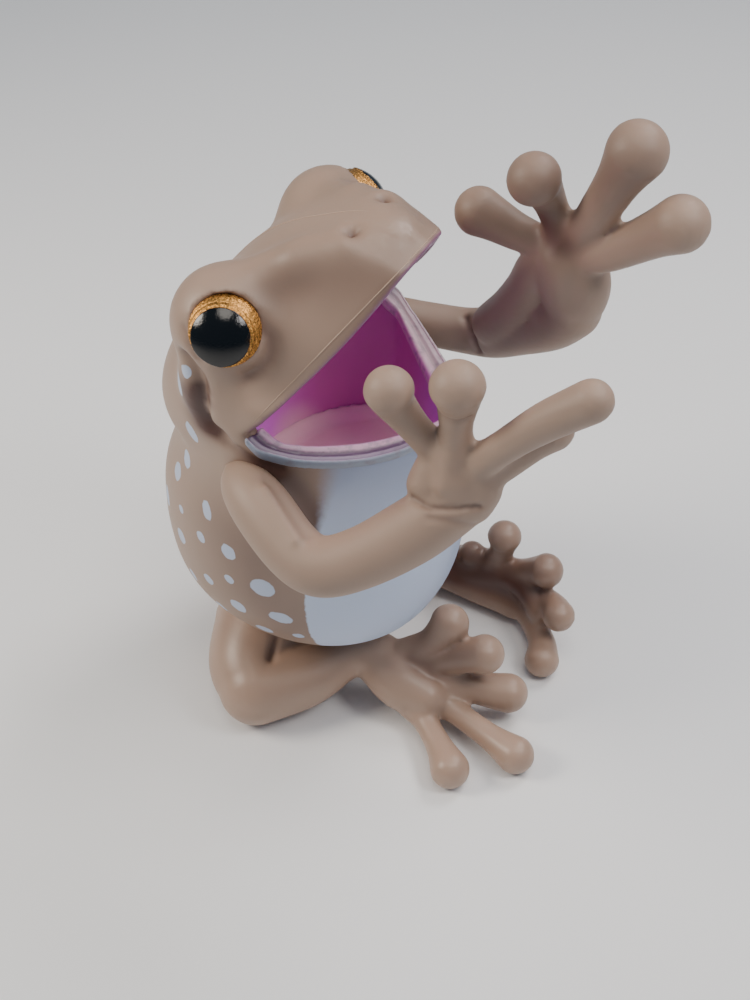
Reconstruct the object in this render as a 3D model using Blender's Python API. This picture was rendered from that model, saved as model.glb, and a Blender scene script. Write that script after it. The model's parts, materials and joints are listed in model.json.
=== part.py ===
"""A moulded toy tree frog that sits with its head thrown back and its mouth wide open.

Metres, +Z up. The frog faces -Y and its left side is +X. Named sizes below are in
millimetres from a point on the floor under the eyes. The finished part is then moved
level, so that its origin is on the floor under the middle of its bounding box.
"""

import math

import bmesh
import bpy
import numpy as np
from mathutils import Matrix, Vector

MM = 0.001
GAP = 0.3                 # air between two nodes that touch
SIDES = 20                # points round a lofted section

# The mouth line in side view: the corner as (y, z), then angles from level
MOUTH_CORNER = (-2.1, 40.3)
JAW_RISE = 54.0
JAW_LENGTH = 18.7
LIP_SAG = 0.7             # how far the upper lip bows down at mid length
LIP_WALL = 1.3            # flesh left round the mouth

# The lower rim of the mouth in side view, corner to chin, as (y, z)
RIM = (
    (-2.1, 40.3),
    (-3.4, 39.2),
    (-6.5, 37.8),
    (-10.5, 37.0),
    (-13.5, 37.3),
    (-16.6, 38.2),
)

# The body as level sections: height, middle y, half width,
# half depth, and how far the front is pinched to a point
BAG = (
    (9.6, -1.6, 2.0, 2.5, 0.0),
    (9.9, -1.5, 6.5, 7.2, 0.0),
    (11.6, -1.4, 9.9, 11.2, 0.0),
    (15.5, -1.1, 12.4, 13.9, 0.06),
    (20.5, -1.2, 13.4, 15.0, 0.12),
    (27.0, -1.5, 13.6, 14.9, 0.25),
    (32.0, -2.5, 13.2, 14.0, 0.42),
    (36.0, -3.2, 13.3, 13.4, 0.5),
    (39.0, -3.5, 13.4, 13.0, 0.5),
    (44.0, -3.9, 13.4, 12.6, 0.5),
)

# The upper head grows boxier away from the mouth corner by this much a millimetre
SNOUT_SQUARE = 0.05

# The upper head as sections square to the mouth line: distance ahead of the
# mouth corner, half width at the lip, height over the lip
SKULL = (
    (-11.6, 8.0, 7.6),
    (-10.0, 10.4, 9.8),
    (-7.0, 11.8, 10.9),
    (-3.5, 12.9, 11.2),
    (0.0, 13.5, 11.3),
    (5.0, 11.7, 10.9),
    (9.0, 9.5, 9.8),
    (12.5, 7.4, 8.1),
    (15.0, 5.8, 6.5),
    (16.5, 4.8, 5.2),
    (17.5, 3.7, 3.7),
    (18.2, 2.1, 1.8),
)

# The brow that carries each eye
BROW_CENTRE = (8.9, 1.5, 48.4)
BROW_RADIUS = 5.2
BROW_REACH = 9.5          # how far round each brow its creases are evened out
BROW_ROUNDS = 24

# The eyes, as balls that each show through a round opening
EYE_CENTRE = (10.49, 0.73, 48.58)
EYE_RADIUS = 3.9
OPENING_LOOK = (0.661, -0.469, 0.588)
OPENING_RADIUS = 3.2
OPENING_DEPTH = 1.8       # the opening's floor, out from the eyeball's middle
NOSTRIL = (2.1, -6.8, 56.0)
NOSTRIL_RADIUS = 0.7
CHEEK_CENTRE = (9.4, 1.2, 42.8)
CHEEK_RADII = (4.2, 5.0, 5.4)

# The scoop of the mouth: floor heights at its front and back, and its back wall
SCOOP_FRONT = -15.5
SCOOP_BACK = 6.8
SCOOP_TOP = 43.0
SCOOP_WIDE = 11.5
FLOOR_FRONT = 28.9
FLOOR_BACK = 20.9
PALATE_DEPTH = 2.6
NAPE = (16.0, 32.8)       # where the neck's parting leaves the back, as (y, z)
CHIN_FOOT = (-20.0, 28.0) # where the jaw's parting leaves the throat, as (y, z)
LINING = 0.9              # thickness of the coloured lining
TONGUE_RISE = 1.3

# Limbs as runs of balls: x, y, z, radius
RIGHT_ARM = (
    (-12.3, 1.0, 35.0, 1.6),
    (-13.6, -1.2, 35.9, 2.4),
    (-15.3, -4.6, 35.2, 2.6),
    (-17.2, -8.8, 33.6, 2.6),
    (-17.6, -11.8, 33.2, 2.6),
    (-15.9, -14.9, 34.4, 2.55),
    (-13.0, -18.1, 36.4, 2.7),
    (-10.8, -20.6, 38.6, 2.6),
)
RIGHT_PALM = (
    (-10.5, -20.9, 39.0, 2.4),
    (-10.0, -20.3, 41.4, 2.6),
    (-10.0, -20.0, 43.3, 1.9),
)
RIGHT_HEEL = (
    (-11.0, -18.4, 40.0, 1.9),
    (-10.3, -18.8, 41.8, 1.6),
    (-9.8, -21.2, 42.0, 1.9),
    (-9.8, -22.4, 40.6, 1.9),
    (-10.3, -22.0, 39.0, 1.9),
)
RIGHT_FINGERS = (
    ((-10.0, -19.2, 42.0, 1.5), (-10.6, -16.9, 45.0, 1.35), (-11.3, -15.3, 47.6, 1.7), (-11.6, -15.0, 48.8, 2.1)),
    ((-10.0, -20.2, 42.6, 1.5), (-10.0, -20.1, 46.2, 1.4), (-10.1, -20.2, 48.7, 1.8), (-10.3, -20.2, 50.1, 2.3)),
    ((-10.0, -21.4, 41.8, 1.6), (-9.8, -24.2, 45.4, 1.4), (-9.5, -27.2, 48.8, 1.6), (-9.1, -30.5, 51.8, 1.75)),
    ((-9.6, -21.6, 40.6, 1.5), (-8.5, -23.6, 42.0, 1.35), (-7.3, -25.6, 44.2, 1.4), (-6.5, -26.9, 45.7, 1.8)),
)
LEFT_ARM = (
    (12.3, 1.0, 35.0, 1.6),
    (13.6, -1.6, 35.4, 2.2),
    (15.2, -5.4, 34.9, 2.2),
    (16.4, -9.4, 34.6, 2.3),
    (16.2, -12.4, 35.6, 2.6),
    (15.2, -15.6, 38.0, 2.8),
    (13.8, -19.0, 40.8, 2.9),
    (12.8, -21.2, 43.2, 2.7),
)
LEFT_PALM = (
    (12.6, -21.2, 43.8, 2.5),
    (12.2, -20.6, 46.6, 2.6),
    (11.9, -20.2, 49.4, 2.6),
    (11.7, -20.2, 51.0, 1.9),
)
LEFT_HEEL = (
    (14.9, -12.9, 37.6, 2.2),
    (13.9, -15.2, 40.6, 2.4),
    (13.2, -16.9, 43.8, 2.4),
    (12.6, -18.0, 47.0, 2.2),
    (12.1, -20.2, 49.0, 2.2),
    (12.1, -22.2, 47.6, 2.2),
    (12.6, -21.8, 44.6, 2.4),
    (13.2, -19.6, 42.4, 2.6),
)
LEFT_FINGERS = (
    ((12.0, -19.0, 49.4, 1.5), (12.2, -15.4, 50.1, 1.7), (12.1, -13.2, 50.8, 2.0), (12.0, -11.9, 51.2, 2.3)),
    ((11.8, -19.8, 50.6, 1.7), (11.6, -18.6, 53.6, 1.65), (10.6, -17.9, 56.0, 1.9), (9.5, -17.7, 57.2, 2.4)),
    ((11.7, -21.0, 50.6, 1.8), (11.0, -22.8, 54.4, 1.75), (10.2, -24.6, 58.6, 1.95), (9.5, -26.0, 61.9, 2.6)),
    ((11.8, -21.2, 49.0, 1.7), (11.0, -24.6, 51.4, 1.7), (10.2, -28.2, 54.6, 2.0), (9.5, -30.4, 56.6, 2.45)),
)
RIGHT_LEG = (
    (-4.6, 3.0, 5.2, 5.6),
    (-8.8, 2.2, 4.4, 4.6),
    (-11.2, 0.3, 3.7, 3.9),
)
RIGHT_SHIN = (
    (-11.2, 0.3, 3.7, 3.9),
    (-7.6, -3.6, 4.0, 3.3),
    (-3.8, -6.8, 4.8, 2.7),
    (-2.6, -9.6, 5.0, 2.7),
)
RIGHT_SOLE = (
    (-2.8, -10.0, 4.6, 2.8),
    (-3.8, -13.0, 4.0, 2.9),
    (-3.9, -15.6, 3.6, 2.4),
)
RIGHT_TOES = (
    ((-1.6, -12.8, 6.2, 1.9), (-0.8, -14.6, 8.0, 1.6), (0.0, -15.6, 9.6, 1.8), (0.5, -16.0, 10.4, 2.1)),
    ((-1.6, -14.8, 5.6, 1.8), (-0.9, -17.0, 6.8, 1.6), (-0.4, -19.0, 8.0, 1.8), (-0.1, -20.3, 8.6, 2.1)),
    ((-2.2, -15.6, 4.2, 1.8), (-1.1, -18.2, 3.8, 1.6), (-0.2, -20.8, 3.4, 1.8), (0.6, -23.0, 3.2, 2.1)),
    ((-3.2, -15.6, 3.2, 1.7), (-3.7, -19.4, 2.4, 1.3), (-4.6, -23.4, 2.0, 1.4), (-5.3, -26.4, 1.8, 2.0)),
    ((-4.6, -14.2, 2.8, 1.8), (-5.9, -16.6, 2.2, 1.3), (-8.0, -19.2, 2.0, 1.4), (-9.9, -21.3, 1.8, 2.05)),
)
LEFT_LEG = (
    (4.6, 3.0, 5.2, 5.6),
    (9.2, 3.0, 4.4, 4.6),
    (13.0, 1.4, 3.6, 3.8),
)
LEFT_SHIN = (
    (13.0, 1.4, 3.6, 3.8),
    (13.6, -2.6, 3.4, 3.2),
    (13.9, -6.4, 3.2, 2.8),
    (14.2, -9.2, 3.2, 2.7),
)
LEFT_SOLE = (
    (14.2, -9.6, 3.4, 2.7),
    (14.4, -12.8, 2.7, 2.6),
    (14.2, -15.8, 2.6, 2.5),
    (13.6, -18.2, 2.4, 2.1),
)
LEFT_WEB = (
    (14.3, -11.6, 4.8, 1.9),
    (14.2, -15.4, 5.6, 1.9),
    (13.3, -19.2, 5.6, 1.8),
    (12.0, -21.8, 4.4, 1.7),
)
LEFT_TOES = (
    ((14.3, -11.2, 5.0, 1.8), (14.1, -12.0, 6.0, 1.5), (13.9, -12.6, 6.9, 1.6)),
    ((14.3, -14.4, 5.4, 2.0), (14.0, -15.8, 8.2, 1.4), (13.8, -16.2, 10.2, 1.5), (13.7, -16.3, 11.4, 1.9)),
    ((14.1, -16.6, 5.6, 2.0), (13.8, -18.8, 7.2, 1.5), (13.5, -20.4, 8.4, 1.6), (13.3, -21.4, 9.0, 2.0)),
    ((13.9, -17.8, 4.4, 1.8), (13.2, -20.8, 5.0, 1.5), (11.8, -23.2, 5.8, 1.5), (10.6, -24.3, 6.0, 1.8)),
    ((13.8, -17.4, 2.8, 1.7), (12.4, -20.4, 2.2, 1.4), (9.8, -23.0, 2.0, 1.5), (7.6, -24.0, 1.7, 1.9)),
)

# The ball from which the digits of each hand and foot spread
FANS = {
    "right_hand": (-10.6, -20.4, 39.2, 2.3),
    "left_hand": (12.4, -21.2, 45.0, 2.6),
    "right_foot": (-2.8, -11.0, 4.6, 2.4),
    "left_foot": (14.3, -12.4, 4.0, 2.2),
}
DIGIT_START = 0.55        # where a digit is parted, as a share of its first bone
CLAIM = 0.6               # how far the space that a digit is cut by stands out from it
BODY_FACES = 3000         # triangles of each melted body before it is parted
ARM_FACES = 760
LEG_FACES = 860
SCOOP_FACES = 640

COLOURS = {
    "brown": ((0.46, 0.36, 0.29), 0.45),
    "white": ((0.72, 0.74, 0.78), 0.5),
    "purple": ((0.35, 0.08, 0.36), 0.35),
    "pink": ((0.55, 0.25, 0.30), 0.35),
    "gold": ((0.50, 0.30, 0.08), 0.3),
}

COLOUR_OF = {
    "lower_jaw": "white",
    "palate": "purple",
    "mouth_lining": "purple",
    "tongue": "pink",
    "eye_right": "gold",
    "eye_left": "gold",
}


def smooth_rows(rows, steps):
    """Rows of numbers along a smooth curve through the given rows."""
    rows = np.array(rows, dtype=float)
    held = np.vstack([2 * rows[0] - rows[1], rows, 2 * rows[-1] - rows[-2]])
    made = []
    for first in range(len(rows) - 1):
        a, b, c, d = held[first:first + 4]
        for step in range(steps):
            t = step / steps
            made.append(0.5 * (2 * b + (c - a) * t + (2 * a - 5 * b + 4 * c - d) * t ** 2
                               + (3 * b - a - 3 * c + d) * t ** 3))
    made.append(rows[-1])
    return np.array(made)


def oval(centre, across, along, power=2.0, pinch=0.0):
    """Points of a superellipse, in millimetres, which may narrow against its second axis."""
    points = []
    for side in range(SIDES):
        turn = 2 * math.pi * side / SIDES
        c = math.cos(turn)
        s = math.sin(turn)
        u = math.copysign(abs(c) ** (2 / power), c)
        v = math.copysign(abs(s) ** (2 / power), s)
        narrow = 1 - pinch * max(0, -v)
        points.append(Vector(centre) + Vector(across) * u * narrow + Vector(along) * v)
    return points


def new_object(name, bm):
    """Link a bmesh, given in millimetres, as an object in metres."""
    bmesh.ops.scale(bm, vec=(MM, MM, MM), verts=bm.verts)
    bmesh.ops.recalc_face_normals(bm, faces=bm.faces)
    mesh = bpy.data.meshes.new(name)
    bm.to_mesh(mesh)
    bm.free()
    made = bpy.data.objects.new(name, mesh)
    bpy.context.scene.collection.objects.link(made)
    return made


def loft(name, rings):
    """A closed body whose skin runs through equal rings of points."""
    bm = bmesh.new()
    rows = [[bm.verts.new(point) for point in ring] for ring in rings]
    for low, high in zip(rows, rows[1:]):
        for side in range(SIDES):
            after = (side + 1) % SIDES
            bm.faces.new((low[side], low[after], high[after], high[side]))
    bm.faces.new(rows[0][::-1])
    bm.faces.new(rows[-1])
    return new_object(name, bm)


def limb(name, balls, steps=4):
    """A round-ended tube whose middle and radius follow a run of balls."""
    rows = smooth_rows(balls, steps)
    middles = [Vector(row[:3]) for row in rows]
    radii = [row[3] for row in rows]
    heads = []
    for place, middle in enumerate(middles):
        before = middles[max(place - 1, 0)]
        after = middles[min(place + 1, len(middles) - 1)]
        heads.append((after - before).normalized())
    side = heads[0].orthogonal().normalized()
    rings = []
    for place, head in enumerate(heads):
        side = (side - head * side.dot(head)).normalized()
        up = head.cross(side)
        stations = [(0.0, 1.0)]
        caps = [(math.sin(a), math.cos(a)) for a in (0.5, 0.95, 1.3)]
        if place == 0:
            stations = [(-out, size) for out, size in reversed(caps)] + stations
        if place == len(heads) - 1:
            stations = stations + caps
        for out, size in stations:
            radius = radii[place]
            centre = middles[place] + head * out * radius
            rings.append(oval(centre, side * radius * size, up * radius * size))
    return loft(name, rings)


def ball(name, centre, radii):
    """An ellipsoid with its axes along X, Y and Z."""
    bm = bmesh.new()
    turned = Matrix.Translation(centre) @ Matrix.Diagonal((*radii, 1))
    bmesh.ops.create_uvsphere(bm, u_segments=16, v_segments=10, radius=1, matrix=turned)
    return new_object(name, bm)


def disc(name, centre, normal, radius, thick=GAP):
    """A thin round plate across a line."""
    turned = Vector(normal).to_track_quat("Z", "Y").to_matrix().to_4x4()
    bm = bmesh.new()
    bmesh.ops.create_cone(bm, cap_ends=True, segments=20, radius1=radius, radius2=radius, depth=thick,
                          matrix=Matrix.Translation(centre) @ turned)
    return new_object(name, bm)


def slab(name, centre, normal, reach, thick=GAP):
    """A thin square plate across a line, which parts two nodes."""
    normal = Vector(normal).normalized()
    turned = normal.to_track_quat("Z", "Y").to_matrix().to_4x4()
    bm = bmesh.new()
    shape = Matrix.Translation(centre) @ turned @ Matrix.Diagonal((reach * 2, reach * 2, thick, 1))
    bmesh.ops.create_cube(bm, size=1, matrix=shape)
    return new_object(name, bm)


def drop(*objects):
    """Remove helper objects from the file."""
    for thing in objects:
        bpy.data.objects.remove(thing)


def settle(thing):
    """Apply the modifiers of an object."""
    bpy.context.view_layer.update()
    graph = bpy.context.evaluated_depsgraph_get()
    mesh = bpy.data.meshes.new_from_object(thing.evaluated_get(graph))
    thing.modifiers.clear()
    thing.data = mesh


def soften(thing, centre, reach, rounds):
    """Even out the creases of a body around a point."""
    points = np.array([vert.co for vert in thing.data.vertices])
    edges = np.array([edge.vertices[:] for edge in thing.data.edges])
    count = np.bincount(edges.ravel())[:, None]
    away = np.linalg.norm(points / MM - np.array(centre), axis=1)[:, None]
    share = 0.5 * np.clip(2 * (1 - away / reach), 0, 1)
    for _ in range(rounds):
        total = np.zeros_like(points)
        np.add.at(total, edges[:, 0], points[edges[:, 1]])
        np.add.at(total, edges[:, 1], points[edges[:, 0]])
        points += share * (total / count - points)
    thing.data.vertices.foreach_set("co", points.ravel())


def fuse(name, forms, voxel, rounds, faces, creases=()):
    """Melt overlapping forms into one soft body of about so many triangles."""
    bm = bmesh.new()
    for form in forms:
        bm.from_mesh(form.data)
    mesh = bpy.data.meshes.new(name)
    bm.to_mesh(mesh)
    bm.free()
    drop(*forms)
    whole = bpy.data.objects.new(name, mesh)
    bpy.context.scene.collection.objects.link(whole)
    melt = whole.modifiers.new("melt", "REMESH")
    melt.mode = "VOXEL"
    melt.voxel_size = voxel * MM
    even = whole.modifiers.new("even", "SMOOTH")
    even.factor = 0.5
    even.iterations = rounds
    settle(whole)
    for centre in creases:
        soften(whole, centre, BROW_REACH, BROW_ROUNDS)
    whole.data.calc_loop_triangles()
    thin = whole.modifiers.new("thin", "DECIMATE")
    thin.ratio = min(1.0, faces / len(whole.data.loop_triangles))
    settle(whole)
    return whole


def cut(target, cutter):
    """Take a cutter's space out of a body."""
    boolean = target.modifiers.new("cut", "BOOLEAN")
    boolean.operation = "DIFFERENCE"
    boolean.solver = "EXACT"
    boolean.object = cutter
    settle(target)


def keep_common(target, other):
    """Keep only what a body shares with another."""
    boolean = target.modifiers.new("common", "BOOLEAN")
    boolean.operation = "INTERSECT"
    boolean.solver = "EXACT"
    boolean.object = other
    settle(target)


def copy_of(thing, name):
    """A separate copy of an object and its mesh."""
    made = thing.copy()
    made.data = thing.data.copy()
    made.name = name
    bpy.context.scene.collection.objects.link(made)
    return made


def swollen(thing, name, grow):
    """A copy of a body whose surface stands out, or in, by a small even distance."""
    made = copy_of(thing, name)
    bm = bmesh.new()
    bm.from_mesh(made.data)
    bm.normal_update()
    shifts = [vert.normal * grow * MM * min(vert.calc_shell_factor(), 1.5) for vert in bm.verts]
    for vert, shift in zip(bm.verts, shifts):
        vert.co += shift
    bm.to_mesh(made.data)
    bm.free()
    return made


def pieces_of(thing):
    """The closed surfaces of a mesh as bmeshes with their volumes, largest first."""
    bm = bmesh.new()
    bm.from_mesh(thing.data)
    bm.verts.ensure_lookup_table()
    owner = {}
    groups = []
    for start in bm.verts:
        if start.index in owner:
            continue
        group = []
        waiting = [start]
        owner[start.index] = len(groups)
        while waiting:
            vert = waiting.pop()
            group.append(vert.index)
            for edge in vert.link_edges:
                other = edge.other_vert(vert)
                if other.index not in owner:
                    owner[other.index] = len(groups)
                    waiting.append(other)
        groups.append(set(group))
    made = []
    for group in groups:
        part = bm.copy()
        strays = [vert for vert in part.verts if vert.index not in group]
        bmesh.ops.delete(part, geom=strays, context="VERTS")
        made.append((part.calc_volume(), part))
    bm.free()
    return sorted(made, key=lambda pair: -pair[0])


def part_nodes(whole, names):
    """Split a cut body into named nodes, each by a point in millimetres that it holds."""
    loose = pieces_of(whole)
    made = {}
    for name, spot in names.items():
        spot = Vector(spot) * MM
        best = min(loose[:len(names)], key=lambda pair: min((v.co - spot).length for v in pair[1].verts))
        mesh = bpy.data.meshes.new(name)
        best[1].to_mesh(mesh)
        made[name] = bpy.data.objects.new(name, mesh)
        bpy.context.scene.collection.objects.link(made[name])
    for _, part in loose:
        part.free()
    drop(whole)
    return made


def paint(thing, colour):
    """Give a node its own moulded material."""
    shade, rough = COLOURS[colour]
    skin = bpy.data.materials.new(thing.name + "_plastic")
    skin.use_nodes = True
    shader = skin.node_tree.nodes["Principled BSDF"]
    shader.inputs["Base Color"].default_value = (*shade, 1)
    shader.inputs["Roughness"].default_value = rough
    thing.data.materials.clear()
    thing.data.materials.append(skin)
    thing.data.shade_smooth()


def mouth_line(angle, reach, bow=0.0):
    """Side-view points from the mouth corner outwards, as (y, z)."""
    run = Vector((-math.cos(math.radians(angle)), math.sin(math.radians(angle))))
    square = Vector((run.y, -run.x))
    points = []
    for step in range(9):
        share = step / 8
        points.append(Vector(MOUTH_CORNER) + run * reach * share - square * bow * math.sin(math.pi * share))
    return points


def head_point(ahead, over, x=0.0):
    """A point given along the mouth line and square to it."""
    run = Vector((0, -math.cos(math.radians(JAW_RISE)), math.sin(math.radians(JAW_RISE))))
    square = Vector((0, run.z, -run.y))
    return Vector((x, *MOUTH_CORNER)) + run * ahead + square * over


def prism(name, outline, half_width):
    """A flat side-view outline carried through from side to side."""
    bm = bmesh.new()
    rows = [[bm.verts.new((x, y, z)) for y, z in outline] for x in (-half_width, half_width)]
    bm.faces.new(rows[0])
    bm.faces.new(rows[1][::-1])
    for side in range(len(outline)):
        after = (side + 1) % len(outline)
        bm.faces.new((rows[0][after], rows[0][side], rows[1][side], rows[1][after]))
    return new_object(name, bm)


def mirrored(spot):
    """The same point on the frog's right side and its left side."""
    x, y, z = spot
    return (("right", (-x, y, z)), ("left", (x, y, z)))


def bag_form(name):
    rings = []
    for z, y, wide, deep, pinch in smooth_rows(BAG, 3):
        rings.append(oval((0, y, z), (wide, 0, 0), (0, deep, 0), 2.1, pinch))
    return loft(name, rings)


def skull_form(name):
    rings = []
    for ahead, wide, high in smooth_rows(SKULL, 2):
        square = head_point(0, 1) - head_point(0, 0)
        power = 2.2 + SNOUT_SQUARE * abs(ahead)
        rings.append(oval(head_point(ahead, 0), (wide, 0, 0), square * high, power, 0.8))
    return loft(name, rings)


def body_forms():
    forms = [bag_form("bag"), skull_form("skull")]
    for side, centre in mirrored(BROW_CENTRE):
        forms.append(ball("brow", centre, (BROW_RADIUS,) * 3))
    for side, centre in mirrored(CHEEK_CENTRE):
        forms.append(ball("cheek", centre, CHEEK_RADII))
    return forms


def gape():
    """The open wedge between the jaws."""
    upper = mouth_line(JAW_RISE, JAW_LENGTH, LIP_SAG)
    lower = smooth_rows(RIM, 3)
    far_up = head_point(60, 0)
    outline = [tuple(point) for point in upper] + [(far_up.y, far_up.z), (-60, 90), (-60, 56)]
    outline += [tuple(point) for point in lower[:0:-1]]
    return prism("gape", outline, 30)


def scoop(name, inset=0.0):
    """The hollow of the mouth: a cup behind the lower jaw and a shallow roof in the skull."""
    rings = []
    for share in (0.0, 0.05, 0.25, 0.5, 0.75, 1.0):
        draw = (1 - share) ** 2 * 1.3 + (0.8 if share == 0 else 0) + inset
        front = SCOOP_FRONT + draw
        back = SCOOP_BACK - draw
        front_z = (FLOOR_FRONT + inset) * (1 - share) + (SCOOP_TOP - inset) * share
        back_z = (FLOOR_BACK + inset) * (1 - share) + (SCOOP_TOP - inset) * share
        middle = (0, (front + back) / 2, (front_z + back_z) / 2)
        along = ((back - front) / 2, (back_z - front_z) / 2)
        rings.append(oval(middle, (SCOOP_WIDE - draw, 0, 0), (0, *along), 2.2, 0.7))
    cup = loft("cup", rings)
    rings = []
    square = head_point(0, 1) - head_point(0, 0)
    for ahead, wide, high in smooth_rows(SKULL[4:11], 2):
        wall = LIP_WALL + inset
        middle = head_point(ahead - wall, -0.6)
        half = min(wide - wall, SCOOP_WIDE - inset)
        rings.append(oval(middle, (half, 0, 0), square * (PALATE_DEPTH + 0.6 - inset), 2.2))
    roof = loft("roof", rings)
    return fuse(name, [cup, roof], 0.5, 2, SCOOP_FACES)


def strip(start, end, thick=GAP):
    """A thin outline along a line in side view."""
    start = Vector(start)
    end = Vector(end)
    run = (end - start).normalized()
    square = Vector((run.y, -run.x)) * thick / 2
    return [tuple(point) for point in (start + square, end + square, end - square, start - square)]


def eye_centre(side):
    return Vector(dict(mirrored(EYE_CENTRE))[side])


def dome(name, centre, look):
    """The part of an eyeball that stands in its opening."""
    wide = OPENING_RADIUS - GAP
    side = look.orthogonal().normalized()
    up = look.cross(side)
    steps = [(wide, OPENING_DEPTH + GAP)]
    edge = math.asin(wide / EYE_RADIUS)
    for share in (1.0, 0.86, 0.7, 0.52, 0.34, 0.17, 0.05):
        steps.append((EYE_RADIUS * math.sin(edge * share), EYE_RADIUS * math.cos(edge * share)))
    return loft(name, [oval(centre + look * out, side * size, up * size) for size, out in steps])


def across(balls, place, radius):
    """A thin disc square to a limb at one of its balls."""
    run = Vector(balls[place + 1][:3]) - Vector(balls[place - 1][:3])
    return disc("parting", balls[place][:3], run, radius)


def claim(name, balls, grow, back=0.0, whole_tip=True):
    """The space round a limb from its first ball on, with a flat start, a little larger than it."""
    rows = smooth_rows(balls, 2)
    last = Vector(rows[-1][:3]) - Vector(rows[-2][:3])
    if whole_tip:
        tip = Vector(rows[-1][:3]) + last.normalized() * (rows[-1][3] + grow)
        rows = np.vstack([rows, (*tip, 1.0)])
    rings = []
    for place, row in enumerate(rows):
        before = Vector(rows[max(place - 1, 0)][:3])
        after = Vector(rows[min(place + 1, len(rows) - 1)][:3])
        head = (after - before).normalized()
        if place == 0:
            side = head.orthogonal().normalized()
        side = (side - head * side.dot(head)).normalized()
        radius = row[3] + grow
        ends = {0: -back, len(rows) - 1: back}
        centre = Vector(row[:3]) + head * ends.get(place, 0.0)
        rings.append(oval(centre, side * radius, head.cross(side) * radius))
    return loft(name, rings)


def take(whole, name, balls, whole_tip=True):
    """Cut the part of a body that lies round a run of balls out of it, as a node of its own."""
    kept = copy_of(whole, name)
    inner = claim("inner", balls, CLAIM, 0.0, whole_tip)
    outer = claim("outer", balls, CLAIM + GAP, GAP, whole_tip)
    keep_common(kept, inner)
    cut(whole, outer)
    drop(inner, outer)
    return part_nodes(kept, {name: balls[1][:3]})


def digit_run(digit):
    """A digit from its parting on."""
    first = np.array(digit[0])
    second = np.array(digit[1])
    return (tuple(first + (second - first) * DIGIT_START),) + tuple(digit[1:])


def part_arm(side, arm, palm, heel, fingers, body):
    """An arm in one, then parted into upper arm, forearm, hand and fingers."""
    forms = [limb("arm", arm), limb("palm", palm), limb("heel", heel)]
    forms += [limb("finger", (FANS[side + "_hand"],) + finger) for finger in fingers]
    whole = fuse("arm", forms, 0.45, 3, ARM_FACES)
    cut(whole, body)
    nodes = {}
    for place, finger in enumerate(fingers):
        nodes.update(take(whole, "finger_%s_%d" % (side, place + 1), digit_run(finger)))
    cutters = [across(arm, 4, 4.2), across(arm, 6, 7.5)]
    for cutter in cutters:
        cut(whole, cutter)
    drop(*cutters)
    names = {"upper_arm_" + side: arm[2][:3], "forearm_" + side: arm[5][:3], "hand_" + side: palm[1][:3]}
    nodes.update(part_nodes(whole, names))
    return nodes


def part_leg(side, thigh, shin, soles, toes, body):
    """A leg in one, then parted into thigh, shin, foot and toes."""
    forms = [limb("thigh", thigh), limb("shin", shin)]
    forms += [limb("sole", sole) for sole in soles]
    forms += [limb("toe", (FANS[side + "_foot"],) + toe) for toe in toes]
    whole = fuse("leg", forms, 0.45, 3, LEG_FACES)
    ground = slab("ground", (0, 0, -3), (0, 0, 1), 50, 6)
    over = -1 if side == "right" else 1
    other_half = slab("other_half", (GAP / 2 * over - 15 * over, 0, 0), (1, 0, 0), 50, 30)
    for cutter in (body, ground):
        cut(whole, cutter)
    nodes = {}
    for place, toe in enumerate(toes):
        nodes.update(take(whole, "toe_%s_%d" % (side, place + 1), digit_run(toe)))
    nodes.update(take(whole, "shin_" + side, shin[:3], False))
    cut(whole, other_half)
    nodes.update(part_nodes(whole, {"thigh_" + side: thigh[0][:3], "foot_" + side: soles[0][1][:3]}))
    drop(ground, other_half)
    return nodes


def part_body(shell):
    """The head, lower jaw and torso, with the mouth, its lining and the eye sockets."""
    open_mouth = gape()
    neck = prism("neck", strip((-2.7, 40.2), NAPE), 30)
    jaw = prism("jaw", strip((-2.7, 40.2), CHIN_FOOT), 30)
    hollow = scoop("hollow")
    sockets = []
    for side, look in mirrored(OPENING_LOOK):
        out = Vector(look).normalized() * (OPENING_DEPTH + 2)
        sockets.append(disc("opening", eye_centre(side) + out, look, OPENING_RADIUS, 4))
    nostrils = [ball("nostril", spot, (NOSTRIL_RADIUS,) * 3) for _, spot in mirrored(NOSTRIL)]
    for cutter in [open_mouth, hollow, neck, jaw] + sockets + nostrils:
        cut(shell, cutter)
    nodes = part_nodes(shell, {"head": head_point(10, 6), "lower_jaw": (-9, -10, 36), "torso": (0, 10, 20)})
    lining = swollen(hollow, "lining", -GAP)
    inside = scoop("inside", GAP + LINING)
    for cutter in (inside, open_mouth, neck):
        cut(lining, cutter)
    nodes.update(part_nodes(lining, {"palate": head_point(12, 2), "mouth_lining": (0, 0, 24)}))
    block = prism("block", strip((SCOOP_FRONT - 4, FLOOR_FRONT), (SCOOP_BACK + 4, FLOOR_BACK),
                                 2 * (GAP + LINING + GAP + TONGUE_RISE)), 30)
    tongue = swollen(inside, "tongue", -GAP)
    keep_common(tongue, block)
    tongue.name = "tongue"
    nodes["tongue"] = tongue
    drop(open_mouth, neck, jaw, hollow, inside, block, *sockets, *nostrils)
    for side, look in mirrored(OPENING_LOOK):
        nodes["eye_" + side] = dome("eye_" + side, eye_centre(side), Vector(look).normalized())
    return nodes


def centre_over_origin(nodes):
    """Move all nodes level until the middle of their common bounding box is over the origin."""
    spots = np.array([vert.co for node in nodes for vert in node.data.vertices])
    middle = (spots.min(axis=0) + spots.max(axis=0)) / 2
    for node in nodes:
        node.data.transform(Matrix.Translation((-middle[0], -middle[1], 0)))


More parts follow.
